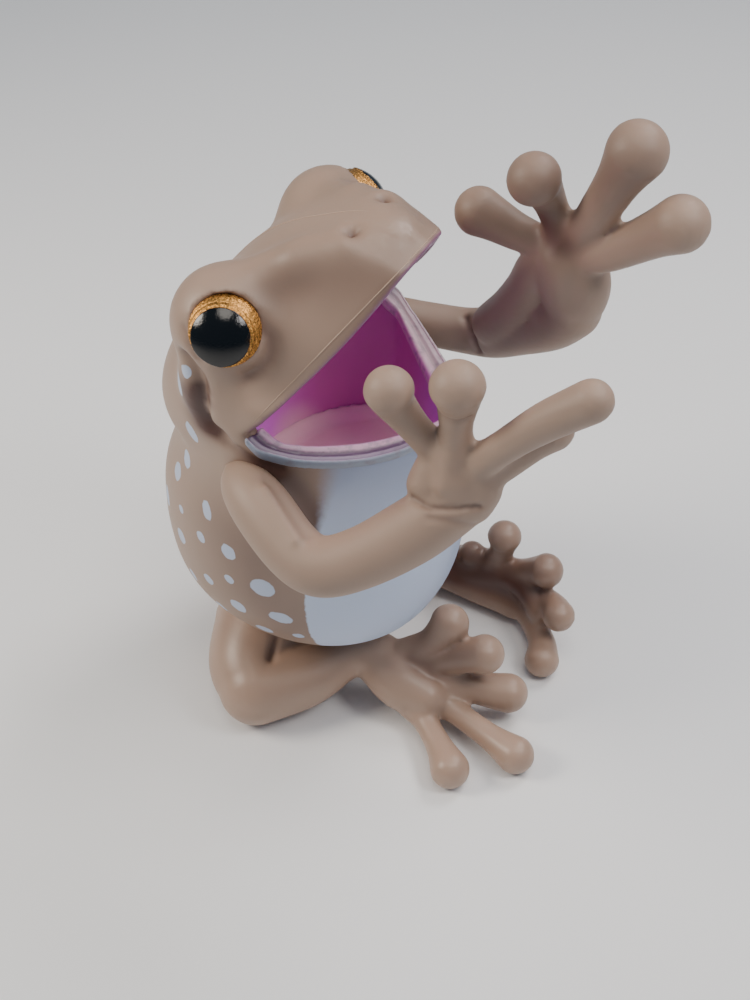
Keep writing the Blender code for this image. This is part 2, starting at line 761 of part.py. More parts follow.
def main():
    for thing in list(bpy.data.objects):
        bpy.data.objects.remove(thing)
    brows = [centre for _, centre in mirrored(BROW_CENTRE)]
    shell = fuse("shell", body_forms(), 0.6, 4, BODY_FACES, brows)
    around = swollen(shell, "around", GAP)
    nodes = part_arm("right", RIGHT_ARM, RIGHT_PALM, RIGHT_HEEL, RIGHT_FINGERS, around)
    nodes.update(part_arm("left", LEFT_ARM, LEFT_PALM, LEFT_HEEL, LEFT_FINGERS, around))
    nodes.update(part_leg("right", RIGHT_LEG, RIGHT_SHIN, (RIGHT_SOLE,), RIGHT_TOES, around))
    nodes.update(part_leg("left", LEFT_LEG, LEFT_SHIN, (LEFT_SOLE, LEFT_WEB), LEFT_TOES, around))
    nodes.update(part_body(shell))
    drop(around)
    for name, node in nodes.items():
        node.name = name
        paint(node, COLOUR_OF.get(name, "brown"))
    centre_over_origin(nodes.values())


if __name__ == "__main__":
    main()
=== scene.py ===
"""Dresses the frame of a moulded toy tree frog with its plastic skin, paint, eyes and mould lines.

Metres, +Z up. The frog faces -Y and its left side is +X. Named sizes below are in
millimetres from a point on the floor under the eyes, which is found from the frame's eyes.
"""

import json
import math

import bmesh
import bpy
import numpy as np
from mathutils import Matrix, Vector
from mathutils.bvhtree import BVHTree
from bpy.props import FloatProperty, FloatVectorProperty, PointerProperty

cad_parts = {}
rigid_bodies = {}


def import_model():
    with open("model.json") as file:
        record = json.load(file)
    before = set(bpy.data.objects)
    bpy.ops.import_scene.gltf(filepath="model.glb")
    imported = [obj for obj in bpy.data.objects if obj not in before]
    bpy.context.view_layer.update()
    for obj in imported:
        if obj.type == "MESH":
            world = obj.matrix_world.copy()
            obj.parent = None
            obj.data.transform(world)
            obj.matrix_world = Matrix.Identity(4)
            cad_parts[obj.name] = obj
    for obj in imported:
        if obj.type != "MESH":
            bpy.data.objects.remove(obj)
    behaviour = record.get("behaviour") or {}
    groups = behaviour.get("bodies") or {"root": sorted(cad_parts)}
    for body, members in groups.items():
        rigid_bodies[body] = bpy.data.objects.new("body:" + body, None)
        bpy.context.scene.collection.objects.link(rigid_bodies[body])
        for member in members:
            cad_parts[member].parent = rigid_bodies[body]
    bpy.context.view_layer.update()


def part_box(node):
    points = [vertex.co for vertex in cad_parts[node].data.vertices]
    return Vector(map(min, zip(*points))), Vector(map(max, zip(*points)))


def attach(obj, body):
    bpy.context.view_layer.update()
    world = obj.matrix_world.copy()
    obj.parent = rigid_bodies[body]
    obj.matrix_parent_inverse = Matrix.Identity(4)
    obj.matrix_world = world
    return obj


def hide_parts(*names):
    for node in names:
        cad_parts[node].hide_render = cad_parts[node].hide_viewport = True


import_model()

bl_info = {
    "name": "Moulded Toy Tree Frog",
    "version": (1, 0, 0),
    "blender": (4, 5, 0),
    "location": "View3D > Sidebar > Toy Frog",
    "description": "Builds the painted plastic skin, eyes, mouth and mould lines of a toy tree frog",
    "category": "Add Mesh",
}

MM = 0.001
SIDES = 48                # points round a lofted section
WELL_OUT = 40             # a distance that is outside the toy from any point in it

# How forms melt into one skin: size of a cell in millimetres, rounds of softening, times it is divided
BODY_MELT = (0.45, 6)
SKIN_MELT = (0.283, 3)
LIMB_MELT = (0.32, 5, 1)
HOLLOW_MELT = (0.35, 3)
FLOOR_MELT = (0.3, 3)

# The mouth line in side view: the corner as (y, z), then the upper lip's angle and length
MOUTH_CORNER = (-2.1, 40.3)
JAW_RISE = 54.0
JAW_LENGTH = 18.7
LIP_SAG = 0.7
LIP_WALL = 1.3
LIP_EDGE = 0.32           # height over the mouth line where its dusted paint begins, over what
LIP_FADE = 0.3            # height it fills, and how far under the line it reaches
LIP_REACH = 1.2

# The lower rim of the mouth in side view, corner to chin, as (y, z)
RIM = (
    (-2.1, 40.3),
    (-3.4, 39.2),
    (-6.5, 37.8),
    (-10.5, 37.0),
    (-13.5, 37.3),
    (-16.6, 38.2),
)

# The body as level sections: height, middle y, half width,
# half depth, and how far the front is pinched to a point
BAG = (
    (9.6, -1.6, 2.0, 2.5, 0.0),
    (9.9, -1.5, 6.5, 7.2, 0.0),
    (11.6, -1.4, 9.9, 11.2, 0.0),
    (15.5, -1.1, 12.4, 13.9, 0.06),
    (20.5, -1.2, 13.4, 15.0, 0.12),
    (27.0, -1.5, 13.6, 14.9, 0.25),
    (32.0, -2.5, 13.2, 14.0, 0.42),
    (36.0, -3.2, 13.3, 13.4, 0.5),
    (39.0, -3.5, 13.4, 13.0, 0.5),
    (44.0, -3.9, 13.4, 12.6, 0.5),
)

# The upper head grows boxier away from the mouth corner by this much a millimetre
SNOUT_SQUARE = 0.05

# The upper head as sections square to the mouth line: distance ahead of the
# mouth corner, half width at the lip, height over the lip
SKULL = (
    (-11.6, 8.0, 7.6),
    (-10.0, 10.4, 9.8),
    (-7.0, 11.8, 10.9),
    (-3.5, 12.9, 11.2),
    (0.0, 13.5, 11.3),
    (5.0, 11.7, 10.9),
    (9.0, 9.5, 9.7),
    (12.5, 7.4, 7.8),
    (15.0, 5.9, 6.2),
    (16.4, 5.0, 5.0),
    (17.3, 4.1, 3.7),
    (17.9, 2.6, 2.1),
)

# The brow that carries each eye
BROW_CENTRE = (8.9, 1.5, 48.4)
BROW_RADIUS = 5.2
BROW_REACH = 9.5          # how far round each brow its creases are evened out
BROW_ROUNDS = 60

# The eyes, as balls that each show through a round opening
EYE_CENTRE = (10.49, 0.73, 48.58)
EYE_RADIUS = 3.9
EYE_NODES_Y = -0.3725     # the middle of the frame's eye nodes, front to back
OPENING_LOOK = (0.661, -0.469, 0.588)
OPENING_RADIUS = 3.05     # of the round opening that the eye shows through
OPENING_DEPTH = 1.9       # the opening's floor, out from the eyeball's middle
OPENING_RINGS = ((OPENING_DEPTH, 1.0), (3.2, 1.0), (6.0, 1.15))    # how far out, and share of the radius
EYE_FIT = 2.98            # half the width of the dome in its opening
PUPIL_LOOK = (0.819, -0.409, 0.442)
PUPIL_REACH = 2.56        # straight distance from the pupil's middle to its edge
IRIS_REACH = 4.3          # and to the gold's edge
EYE_UNDER = 0.1           # how far the painted ball lies under the eye's nominal radius
PUPIL_RISE = 0.16         # how far the black paint stands up
GROOVE_DEPTH = 0.05       # of the grooves round the pupil and round the ring
RING_STEP = 3.0           # where the ring steps down, from the pupil's middle, and by how much
RING_DROP = 0.06
CHEEK_CENTRE = (9.4, 1.2, 42.8)
CHEEK_RADII = (4.2, 5.0, 5.4)
SNOUT_TIP = (-0.4, -11.6, 57.2)

# The scoop of the mouth: floor heights at its front and back, and its back wall
SCOOP_FRONT = -15.5
SCOOP_BACK = 6.8
SCOOP_TOP = 43.0
SCOOP_WIDE = 11.5
FLOOR_FRONT = 28.9
FLOOR_BACK = 20.9
PALATE_DEPTH = 2.6

# Limbs as runs of balls: x, y, z, radius
RIGHT_ARM = (
    (-12.7, -0.2, 35.6, 0.7),
    (-13.8, -1.9, 35.7, 2.0),
    (-15.3, -4.6, 35.2, 2.6),
    (-17.2, -8.8, 33.6, 2.6),
    (-17.6, -11.8, 33.2, 2.6),
    (-15.9, -14.9, 34.3, 2.65),
    (-13.0, -18.1, 36.3, 2.8),
    (-10.8, -20.6, 38.6, 2.6),
)
RIGHT_PALM = (
    (-10.5, -20.9, 39.0, 2.4),
    (-10.0, -20.3, 41.4, 2.6),
    (-10.0, -20.0, 43.3, 1.9),
)
RIGHT_HEEL = (
    (-11.0, -18.4, 40.0, 1.9),
    (-10.3, -18.8, 41.8, 1.6),
    (-9.8, -21.2, 42.0, 1.9),
    (-9.8, -22.4, 40.6, 1.9),
    (-10.3, -22.0, 39.0, 1.9),
)
RIGHT_FINGERS = (
    ((-10.0, -19.2, 42, 1.5), (-10.6, -16.9, 45, 1.35), (-11.3, -15.3, 47.6, 1.7), (-11.6, -15, 48.8, 2.1)),
    ((-10, -20.2, 42.6, 1.5), (-10, -20.1, 46.2, 1.4), (-10.1, -20.2, 48.7, 1.8), (-10.3, -20.2, 50.1, 2.3)),
    ((-10, -21.4, 41.8, 1.6), (-9.8, -24.2, 45.4, 1.4), (-9.5, -27.2, 48.8, 1.6), (-9.1, -30.5, 51.8, 1.75)),
    ((-9.6, -21.6, 40.6, 1.5), (-8.5, -23.6, 42.0, 1.35), (-7.3, -25.6, 44.2, 1.4), (-6.5, -26.9, 45.7, 1.8)),
)
LEFT_ARM = (
    (12.3, 1.0, 35.0, 1.6),
    (13.6, -1.6, 35.4, 2.2),
    (15.2, -5.4, 34.9, 2.2),
    (16.4, -9.4, 34.6, 2.3),
    (16.2, -12.4, 35.6, 2.6),
    (15.2, -15.6, 38.0, 2.8),
    (13.8, -19.0, 40.8, 2.9),
    (12.8, -21.2, 43.2, 2.7),
)
LEFT_PALM = (
    (12.6, -21.2, 43.8, 2.5),
    (12.2, -20.6, 46.6, 2.6),
    (11.9, -20.2, 49.4, 2.6),
    (11.7, -20.2, 51.0, 1.9),
)
LEFT_HEEL = (
    (14.9, -12.9, 37.6, 2.2),
    (13.9, -15.2, 40.6, 2.4),
    (13.2, -16.9, 43.8, 2.4),
    (12.6, -18.0, 47.0, 2.2),
    (12.1, -20.2, 49.0, 2.2),
    (12.1, -22.2, 47.6, 2.2),
    (12.6, -21.8, 44.6, 2.4),
    (13.2, -19.6, 42.4, 2.6),
)
LEFT_FINGERS = (
    ((12.0, -19.0, 49.4, 1.5), (12.2, -15.4, 50.1, 1.7), (12.1, -13.2, 50.8, 2.0), (12.0, -11.9, 51.2, 2.3)),
    ((11.8, -19.8, 50.6, 1.7), (11.6, -18.6, 53.6, 1.65), (10.6, -17.9, 56.0, 1.9), (9.5, -17.7, 57.2, 2.4)),
    ((11.7, -21.0, 50.6, 1.8), (11.0, -22.8, 54.4, 1.75), (10.2, -24.6, 58.6, 1.95), (9.5, -26.0, 61.9, 2.6)),
    ((11.8, -21.2, 49.0, 1.7), (11.0, -24.6, 51.4, 1.7), (10.2, -28.2, 54.6, 2.0), (9.5, -30.4, 56.6, 2.45)),
)
RIGHT_LEG = (
    (-4.6, 3.0, 5.2, 5.6),
    (-8.8, 2.2, 4.4, 4.6),
    (-11.2, 0.3, 3.7, 3.9),
)
RIGHT_SHIN = (
    (-11.2, 0.3, 3.7, 3.9),
    (-7.6, -3.6, 4.0, 3.3),
    (-3.8, -6.8, 5.1, 2.4),
    (-2.6, -9.6, 5.1, 2.6),
)
RIGHT_SOLE = (
    (-2.8, -10.0, 4.6, 2.8),
    (-3.8, -13.0, 4.0, 2.9),
    (-3.9, -15.6, 3.6, 2.4),
)
RIGHT_TOES = (
    ((-1.6, -12.8, 6.2, 1.9), (-0.8, -14.6, 8.0, 1.6), (0.0, -15.6, 9.6, 1.8), (0.5, -16.0, 10.4, 2.1)),
    ((-1.6, -14.8, 5.6, 1.8), (-0.9, -17.0, 6.8, 1.6), (-0.4, -19.0, 8.0, 1.8), (-0.1, -20.3, 8.6, 2.1)),
    ((-2.2, -15.6, 4.2, 1.8), (-1.1, -18.2, 3.8, 1.6), (-0.2, -20.8, 3.4, 1.8), (0.6, -23.0, 3.2, 2.1)),
    ((-3.2, -15.6, 3.2, 1.7), (-3.7, -19.4, 2.4, 1.3), (-4.6, -23.4, 2.0, 1.4), (-5.3, -26.4, 1.8, 2.0)),
    ((-4.6, -14.2, 2.8, 1.8), (-5.9, -16.6, 2.2, 1.3), (-8.0, -19.2, 2.0, 1.4), (-9.9, -21.3, 1.8, 2.05)),
)
LEFT_LEG = (
    (4.6, 3.0, 5.2, 5.6),
    (9.2, 3.0, 4.4, 4.6),
    (13.0, 1.4, 3.6, 3.8),
)
LEFT_SHIN = (
    (13.0, 1.4, 3.6, 3.8),
    (13.6, -2.6, 3.4, 3.2),
    (13.9, -6.4, 3.2, 2.8),
    (14.2, -9.2, 3.2, 2.7),
)
LEFT_SOLE = (
    (14.2, -9.6, 3.4, 2.7),
    (14.4, -12.8, 2.7, 2.6),
    (14.2, -15.8, 2.6, 2.5),
    (13.6, -18.2, 2.4, 2.1),
)
LEFT_WEB = (
    (14.3, -11.6, 4.8, 1.9),
    (14.2, -15.4, 5.6, 1.9),
    (13.3, -19.2, 5.6, 1.8),
    (12.0, -21.8, 4.4, 1.7),
)
LEFT_TOES = (
    ((14.3, -11.2, 5.0, 1.8), (14.1, -12.0, 6.0, 1.5), (13.9, -12.6, 6.9, 1.6)),
    ((14.3, -14.4, 5.4, 2.0), (14.0, -15.8, 8.2, 1.4), (13.8, -16.2, 10.2, 1.5), (13.7, -16.3, 11.4, 1.9)),
    ((14.1, -16.6, 5.6, 2.0), (13.8, -18.8, 7.2, 1.5), (13.5, -20.4, 8.4, 1.6), (13.3, -21.4, 9.0, 2.0)),
    ((13.9, -17.8, 4.4, 1.8), (13.2, -20.8, 5.0, 1.5), (11.8, -23.2, 5.8, 1.5), (10.6, -24.3, 6.0, 1.8)),
    ((13.8, -17.4, 2.8, 1.7), (12.4, -20.4, 2.2, 1.4), (9.8, -23.0, 2.0, 1.5), (7.6, -24.0, 1.7, 1.9)),
)

# The ball from which the digits of each hand and foot spread
FANS = {
    "right_hand": (-10.6, -20.4, 39.2, 2.3),
    "left_hand": (12.4, -21.2, 45.0, 2.6),
    "right_foot": (-2.8, -11.0, 4.6, 2.4),
    "left_foot": (14.3, -12.4, 4.0, 2.2),
}

# The white belly: its edge as a y, the level above which the edge leans forwards, by how much,
# and how far the edge wanders
BELLY_EDGE = -6.6
BELLY_LEVEL = 21.0
BELLY_LEAN = 0.12
BELLY_RAGGED = 0.3

# Painted spots: angle round the body from its side to its back, height, half length, half width, tilt
SPOTS = (
    (22.0, 44.8, 0.64, 0.60, 0.0),
    (30.0, 42.3, 1.22, 0.96, 20.0),
    (26.4, 37.2, 1.11, 0.70, 15.0),
    (36.0, 32.4, 0.95, 0.70, 10.0),
    (42.4, 29.9, 0.95, 0.77, 8.0),
    (35.6, 26.6, 0.45, 0.42, 0.0),
    (19.0, 29.2, 1.01, 0.59, 14.0),
    (37.9, 22.7, 0.90, 0.77, 15.0),
    (22.9, 25.4, 0.66, 0.58, 12.0),
    (8.3, 25.6, 0.90, 0.79, 15.0),
    (22.3, 19.6, 0.70, 0.66, 25.0),
    (9.7, 21.7, 0.58, 0.55, 15.0),
    (-5.6, 22.1, 1.22, 1.16, 60.0),
    (8.1, 17.8, 0.90, 0.84, 65.0),
    (22.0, 15.2, 0.74, 0.64, 50.0),
    (-12.0, 18.1, 1.19, 0.84, 80.0),
    (-1.4, 14.6, 0.95, 0.77, 85.0),
    (-18.6, 15.0, 0.58, 0.51, 85.0),
    (36.0, 17.6, 0.74, 0.64, 30.0),
)
BACK_SPOT_ANGLES = (57.0, 79.0, 101.0, 123.0)
BACK_SPOT_HEIGHTS = (14.5, 20.0, 26.0, 32.0)

# Moulded folds, dents and swellings, with shade painted along them. Those of the head and body are paths on
# the frog's right side, and a row of a limb's table is a path, its width, its depth, under zero where it
# swells, and its painted shade.
EYE_FOLD = (
    (-9.9, -1.9, 49.9), (-10.3, -3.0, 49.6), (-10.2, -3.5, 48.9), (-10.6, -3.7, 48.0), (-11.0, -3.5, 47.1),
    (-11.6, -2.9, 46.4), (-12.0, -2.2, 45.9),
)
LID_FOLD = ((-13.2, 2.9, 49.9), (-13.6, 2.1, 48.8), (-13.6, 1.4, 47.5))
FACE_HOLLOW = ((-7.5, -3.9, 52.2), (-6.7, -7.2, 52.9), (-5.0, -10.8, 53.9))
NOSTRIL_SPOT = ((-2.8, -7.15, 55.6),)
CANTHUS = ((-6.2, -1.8, 53.6), (-5.2, -4.2, 54.9), (-4.2, -6.6, 55.8))
BROW_FRONT = ((-6.8, -1.0, 52.9), (-5.9, -3.0, 54.0))
SNOUT_SHOULDER = ((-3.4, -9.0, 56.0), (-3.2, -11.0, 56.4), (-2.4, -13.0, 56.8))
CHEEK_FOLD = (
    (-13.2, 3.2, 46.5), (-13.3, 2.6, 45.6), (-13.5, 2.1, 44.4), (-13.6, 2.0, 42.8), (-13.4, 2.2, 40.7),
    (-13.2, 1.8, 39.6), (-13.2, 0.4, 39.2),
)
# Paths that carry only painted shade: where the neck roll, the torso under the arm and the flank lie in
# shadow.
NECK_SHADE = ((-13.3, 4.0, 42.5), (-13.2, 3.6, 40.5), (-13.2, 2.6, 39.5))
ARM_SHADE = ((-13.2, -3.5, 37.5), (-12.1, -5.2, 35.9), (-11.1, -6.6, 33.0), (-10.6, -8.0, 30.0))
FLANK_SHADE = ((-13.0, -0.6, 27.0), (-13.2, -2.2, 21.5), (-12.2, -5.0, 17.0))
CORNER_FOLD = ((-13.5, 0.4, 38.8), (-13.4, -2.2, 38.3), (-12.6, -5.2, 37.2))
RIGHT_ARM_FOLDS = (
    (((-14.6, -5.2, 37.5), (-15.9, -8.2, 36.8), (-17.0, -10.4, 36.0)), 0.8, 0.2, 0.05),
    (((-15.6, -5.4, 37.6), (-16.8, -7.5, 36.8), (-17.5, -8.7, 36.3), (-18.1, -9.8, 35.9)), 0.6, -0.3, 0.0),
    (((-12.8, -17.8, 39.7), (-13.3, -19.6, 39.8), (-12.7, -21.6, 40), (-11.6, -23.2, 40)), 0.32, 0.26, 0.4),
    (((-11.3, -19.0, 48.0), (-11.8, -20.6, 47.8), (-11.0, -22.0, 48.0)), 0.35, 0.2, 0.15),
    (((-11.4, -20.4, 46.0), (-12.3, -20.4, 43.5), (-12.9, -20.2, 41.5)), 0.7, -0.2, 0.0),
    (((-13.8, -19.9, 39.2), (-13.2, -21.6, 39.0), (-11.7, -22.9, 38.0)), 0.4, 0.14, 0.2),
)
# The left hand lies in shadow: painted shade fills its palm hollow and covers its fingers and wrist, the last
# two with no fold.
LEFT_ARM_FOLDS_AND_SHADE = (
    (((10.2, -18.3, 52.7), (10.2, -19.3, 52.0), (10.0, -20.3, 51.4)), 2.3, 0.5, 0.85),
    (((9.4, -13.0, 50.8), (7.4, -17.7, 56.8), (7.3, -25.5, 61.0)), 5.0, 0.0, 0.42),
    (((12.8, -14.5, 38.5), (11.4, -19.0, 42.5)), 3.2, 0.0, 0.4),
    (((15.5, -9.6, 36.8), (14.1, -11.0, 36.2), (13.9, -11.8, 34.5)), 0.45, 0.4, 0.5),
)
# The last row is only painted shade, over the first toes where they lie in shadow.
RIGHT_LEG_FOLDS_AND_SHADE = (
    (((-7.8, -0.4, 8.5), (-8.4, -0.5, 8.1), (-9.1, -0.7, 7.8), (-9.8, -0.9, 7.6)), 0.5, 0.35, 0.4),
    (((-2.6, -13.5, 7.0), (-2.4, -16.2, 5.8)), 1.3, 0.15, 0.35),
    (((-1.8, -15.0, 9.0), (-1.6, -18.0, 8.5)), 3.4, 0.0, 0.45),
)
# The left foot lies in shadow: painted shade over the whole foot, darker over its cupped sole.
LEFT_LEG_FOLDS_AND_SHADE = (
    (((10.5, -12.0, 9.0), (10.5, -20.0, 8.0)), 6.0, 0.0, 0.5),
    (((11.8, -10.5, 4.5), (11.8, -14.5, 5.0), (11.4, -18.5, 5.0)), 3.0, 0.3, 0.8),
)

# What each arm and leg is made of: its runs of balls, its digits and its folds
ARMS = {
    "right": ((RIGHT_ARM, RIGHT_PALM, RIGHT_HEEL), RIGHT_FINGERS, RIGHT_ARM_FOLDS),
    "left": ((LEFT_ARM, LEFT_PALM, LEFT_HEEL), LEFT_FINGERS, LEFT_ARM_FOLDS_AND_SHADE),
}
LEGS = {
    "right": ((RIGHT_LEG, RIGHT_SHIN, RIGHT_SOLE), RIGHT_TOES, RIGHT_LEG_FOLDS_AND_SHADE),
    "left": ((LEFT_LEG, LEFT_SHIN, LEFT_SOLE, LEFT_WEB), LEFT_TOES, LEFT_LEG_FOLDS_AND_SHADE),
}

# The jaw's rim: the point in plan that it is measured from, how far round it runs, how far its
# inner edge stands in, and its section as share of the way across and height
LIP_CENTRE = (0.0, -4.5)
LIP_TURN = 99.0
LIP_INSIDE = 0.42
LIP_PROFILE = (
    (0.02, -0.70),
    (-0.05, -0.25),
    (-0.07, 0.12),
    (-0.03, 0.26),
    (0.04, 0.28),
    (0.09, 0.17),
    (0.17, 0.17),
    (0.30, 0.22),
    (0.40, 0.12),
    (0.48, 0.06),
    (0.57, 0.10),
    (0.68, 0.26),
    (0.82, 0.33),
    (0.96, 0.22),
    (1.03, -0.10),
    (1.03, -0.70),
    (0.60, -0.90),
)

# The rim's paint, from its outer edge inwards: where each band is full, and its share of the lip's colour;
# the dark bands over the groove are painted shade
LIP_BANDS = (
    (0.03, (1.30, 1.25, 1.30)),
    (0.08, (0.55, 0.52, 0.60)),
    (0.26, (0.80, 0.73, 0.81)),
    (0.36, (0.30, 0.23, 0.33)),
    (0.56, (0.34, 0.24, 0.32)),
    (0.68, (1.45, 1.05, 1.15)),
    (0.85, (1.75, 1.35, 1.40)),
    (1.0, (1.7, 0.70, 1.40)),
)
LIP_RAGGED = 0.09         # how far the bands' edges wander, as a share of the way across

# The mouth's floor and where its walls are pink
MOUTH_PINK = (4.6, 2.8, 25.6)
FLOOR_RISE = 1.6          # top of the mouth's floor over the line of the scoop's bottom
FILLET_RISE = 1.3         # how high the floor runs up the mouth's walls, and over what width
FILLET_WIDE = 1.3

# The mould's parting lines: one round the upper lip, as seen from a point ahead of the mouth corner,
# at a height over the mouth line and as far round as an angle, and one down the head's middle
LIP_MIDDLE = 6.0
LIP_LINE_OVER = 0.3
LIP_LINE_TURN = 108
CROWN_MIDDLE = (0, 2.0, 44.0)
CROWN_TURNS = (128, -50)

# The finishes: index of refraction of PVC, roughness of the body and colour of the shade painted in folds and
# shadowed places
PVC_IOR = 1.53
BODY_ROUGH = 0.48
PAINTED_SHADE_TINT = (0.26, 0.17, 0.17)

# Sizes in millimetres of what shows in each finish; a tooth is its size and its height
SKIN_CLOUD = 6.0
SKIN_TOOTH = (0.35, 0.006)
LIP_TOOTH = (0.3, 0.01)
MOUTH_TOOTH = (0.3, 0.005)
EDGE_CLOUD = 0.5
STREAK_CLOUD = 0.9
WORN_CLOUD = 0.7
MOUTH_CLOUD = 5.0
FLOOR_CLOUD = 4.0
DUST_CLOUD = 1.2
ENAMEL_CLOUD = 0.22
GOLD_FLAKE = 0.17
EYE_RAGGED = 0.35
SEAM_STEP = 0.2
SEAM_WAVE = 2.5
SEAM_THIN = 0.45          # share of its size that a parting line has where it is thinnest
SEAM_TAPER = 6.0          # how suddenly its ends taper

# Fades: where each starts and ends, and how strong it is at either end
BELLY_SOFTENS = (28.0, 35.0, 0.1, 1.1)
# Painted shade on the belly: grey blue under the chin and round towards the left side.
BELLY_CHIN_SHADE = (27.0, 37.0, 0.0, 0.85)
BELLY_LEFT_SHADE = (-6.0, 3.0, 0.0, 0.5)
BELLY_TOP = (39.5, 41.0, 1.0, 0.0)
DOT_EDGE = (0.93, 1.05, 0.95, 0.0)
NO_DOT = 9.0              # a reach past any dot's edge
SNOUT_POLISH = (0.0, 8.0, -0.22, 0.0)
# Painted light that lightens the rim towards the frog's left
LIP_LEFT_LIGHT = (2.0, 9.0, 0.0, 0.6)
LIP_STREAKS = (0.48, 0.72, 0.0, 0.55)
MOUTH_VIOLET = (40.0, 50.0, 0.0, 0.5)
# Painted shade that darkens the mouth's left wall to a wine red
MOUTH_LEFT_SHADE = (1.0, 9.0, 0.0, 0.8)
CHEEK_PINK = (0.8, 3.8, 0.8, 0.0)
FLOOR_DUST = (0.9, 1.25, 0.0, 0.8)

# Kinds of node and settings that the paints use again and again
MATH = "ShaderNodeMath"
VECTORS = "ShaderNodeVectorMath"
AXES = "ShaderNodeSeparateXYZ"
NOISE = "ShaderNodeTexNoise"
RANGE = "ShaderNodeMapRange"
MIX = "ShaderNodeMix"
STORED = "ShaderNodeAttribute"
COLOURS = {"data_type": "RGBA"}
EASED = {"interpolation_type": "SMOOTHSTEP"}

# The stage: the floor's and the sky's colours, what the lights aim at, and each light's name,
# place, size, power and colour
FLOOR_HALF = 3.0
FLOOR_CARD = (0.92, 0.92, 0.92)
SKY = (0.48, 0.72, 1.0)
SKY_STRENGTH = 0.21
LIGHT_AIM = (0, -6, 32)
LIGHTS = (
    ("key", (-85, 125, 140), 80, 0.26, (1.0, 0.91, 0.80)),
    ("top", (-40, -50, 330), 170, 0.36, (1.0, 0.93, 0.84)),
    ("side", (150, -68, 222), 110, 0.27, (1.0, 0.94, 0.92)),
    ("front", (10, -120, 160), 60, 0.11, (1.0, 0.95, 0.92)),
)

# The camera in the frame of the named sizes, as the photo was taken, with its film's height
CAMERA_PLACE = (-87.9, -53.4, 116.9)
CAMERA_RIGHT = (0.461, -0.887, 0.0)
CAMERA_BACK = (-0.649, -0.337, 0.682)
FOCAL_PIXELS = 1400.0
PHOTO_HEIGHT = 1000.0
FILM = 36

FRAME_NODES = sorted(thing.name for thing in bpy.data.objects)


def middle_of(node):
    """The middle of a frame node's box, in millimetres."""
    low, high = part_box(node)
    return (Vector(low) + Vector(high)) / 2 / MM


def mirrored(spot):
    """The same point on the frog's right side and its left side."""
    x, y, z = spot
    return {"right": Vector((-x, y, z)), "left": Vector((x, y, z))}


def eye_middle(side):
    """The middle of an eyeball."""
    return mirrored(EYE_CENTRE)[side]


# How far the frame's origin lies from the point under the eyes
AWAY = (middle_of("eye_right") + middle_of("eye_left")) / 2 - Vector((0, EYE_NODES_Y, 0))
AWAY.z = 0.0


def linear(code):
    """A linear colour from its sRGB hex code."""
    made = []
    for place in (1, 3, 5):
        value = int(code[place:place + 2], 16) / 255
        made.append(value / 12.92 if value <= 0.04045 else ((value + 0.055) / 1.055) ** 2.4)
    return tuple(made)


class ToyFrogSizes(bpy.types.PropertyGroup):
    """Sizes of the moulded details."""

    fold_depth: FloatProperty(name="Fold depth", description="Depth of the folds of the face and neck",
                              default=0.55 * MM, min=0.0, unit="LENGTH")
    nostril_radius: FloatProperty(name="Nostril radius", description="Radius of each nostril's dimple",
                                  default=0.72 * MM, min=0.0, unit="LENGTH")
    seam_radius: FloatProperty(name="Mould line radius", description="Half the width of a parting line",
                               default=0.055 * MM, min=0.0, unit="LENGTH")
    spot_scale: FloatProperty(name="Spot size", description="Size of the painted spots against the real ones",
                              default=1.0, min=0.1, max=2.0, subtype="FACTOR")


class ToyFrogPaints(bpy.types.PropertyGroup):
    """Colours of the plastic and its paints."""

    skin: FloatVectorProperty(name="Skin", description="Beige brown of the moulded skin", subtype="COLOR",
                              size=3, min=0.0, max=1.0, default=linear("#a18877"))
    limb: FloatVectorProperty(name="Legs", description="Pinker brown of the legs", subtype="COLOR",
                              size=3, min=0.0, max=1.0, default=linear("#ae917e"))
    # The belly's white is set greyer and bluer than the real paint, as painted shade; the spots and the lip's
    # outer wall take it too.
    belly: FloatVectorProperty(name="Belly", description="White of the belly and spots", subtype="COLOR",
                               size=3, min=0.0, max=1.0, default=linear("#c3cfe6"))
    lip: FloatVectorProperty(name="Lip", description="Grey lilac of the lower lip", subtype="COLOR",
                             size=3, min=0.0, max=1.0, default=linear("#b3a7b6"))
    mouth: FloatVectorProperty(name="Mouth", description="Purple paint of the mouth's walls", subtype="COLOR",
                               size=3, min=0.0, max=1.0, default=linear("#f38fff"))
    floor: FloatVectorProperty(name="Mouth floor", description="Pink of the mouth's floor", subtype="COLOR",
                               size=3, min=0.0, max=1.0, default=linear("#ffe0d8"))
    iris: FloatVectorProperty(name="Iris", description="Metallic gold of the eye's ring", subtype="COLOR",
                              size=3, min=0.0, max=1.0, default=linear("#c48e4a"))
    pupil: FloatVectorProperty(name="Pupil", description="Gloss black paint of the pupil", subtype="COLOR",
                               size=3, min=0.0, max=1.0, default=linear("#0a0b0d"))


def smooth_rows(rows, steps):
    """Rows of numbers along a smooth curve through the given rows."""
    rows = np.array(rows, dtype=float)
    held = np.vstack([2 * rows[0] - rows[1], rows, 2 * rows[-1] - rows[-2]])
    made = []
    for first in range(len(rows) - 1):
        a, b, c, d = held[first:first + 4]
        for step in range(steps):
            t = step / steps
            made.append(0.5 * (2 * b + (c - a) * t + (2 * a - 5 * b + 4 * c - d) * t ** 2
                               + (3 * b - a - 3 * c + d) * t ** 3))
    made.append(rows[-1])
    return np.array(made)


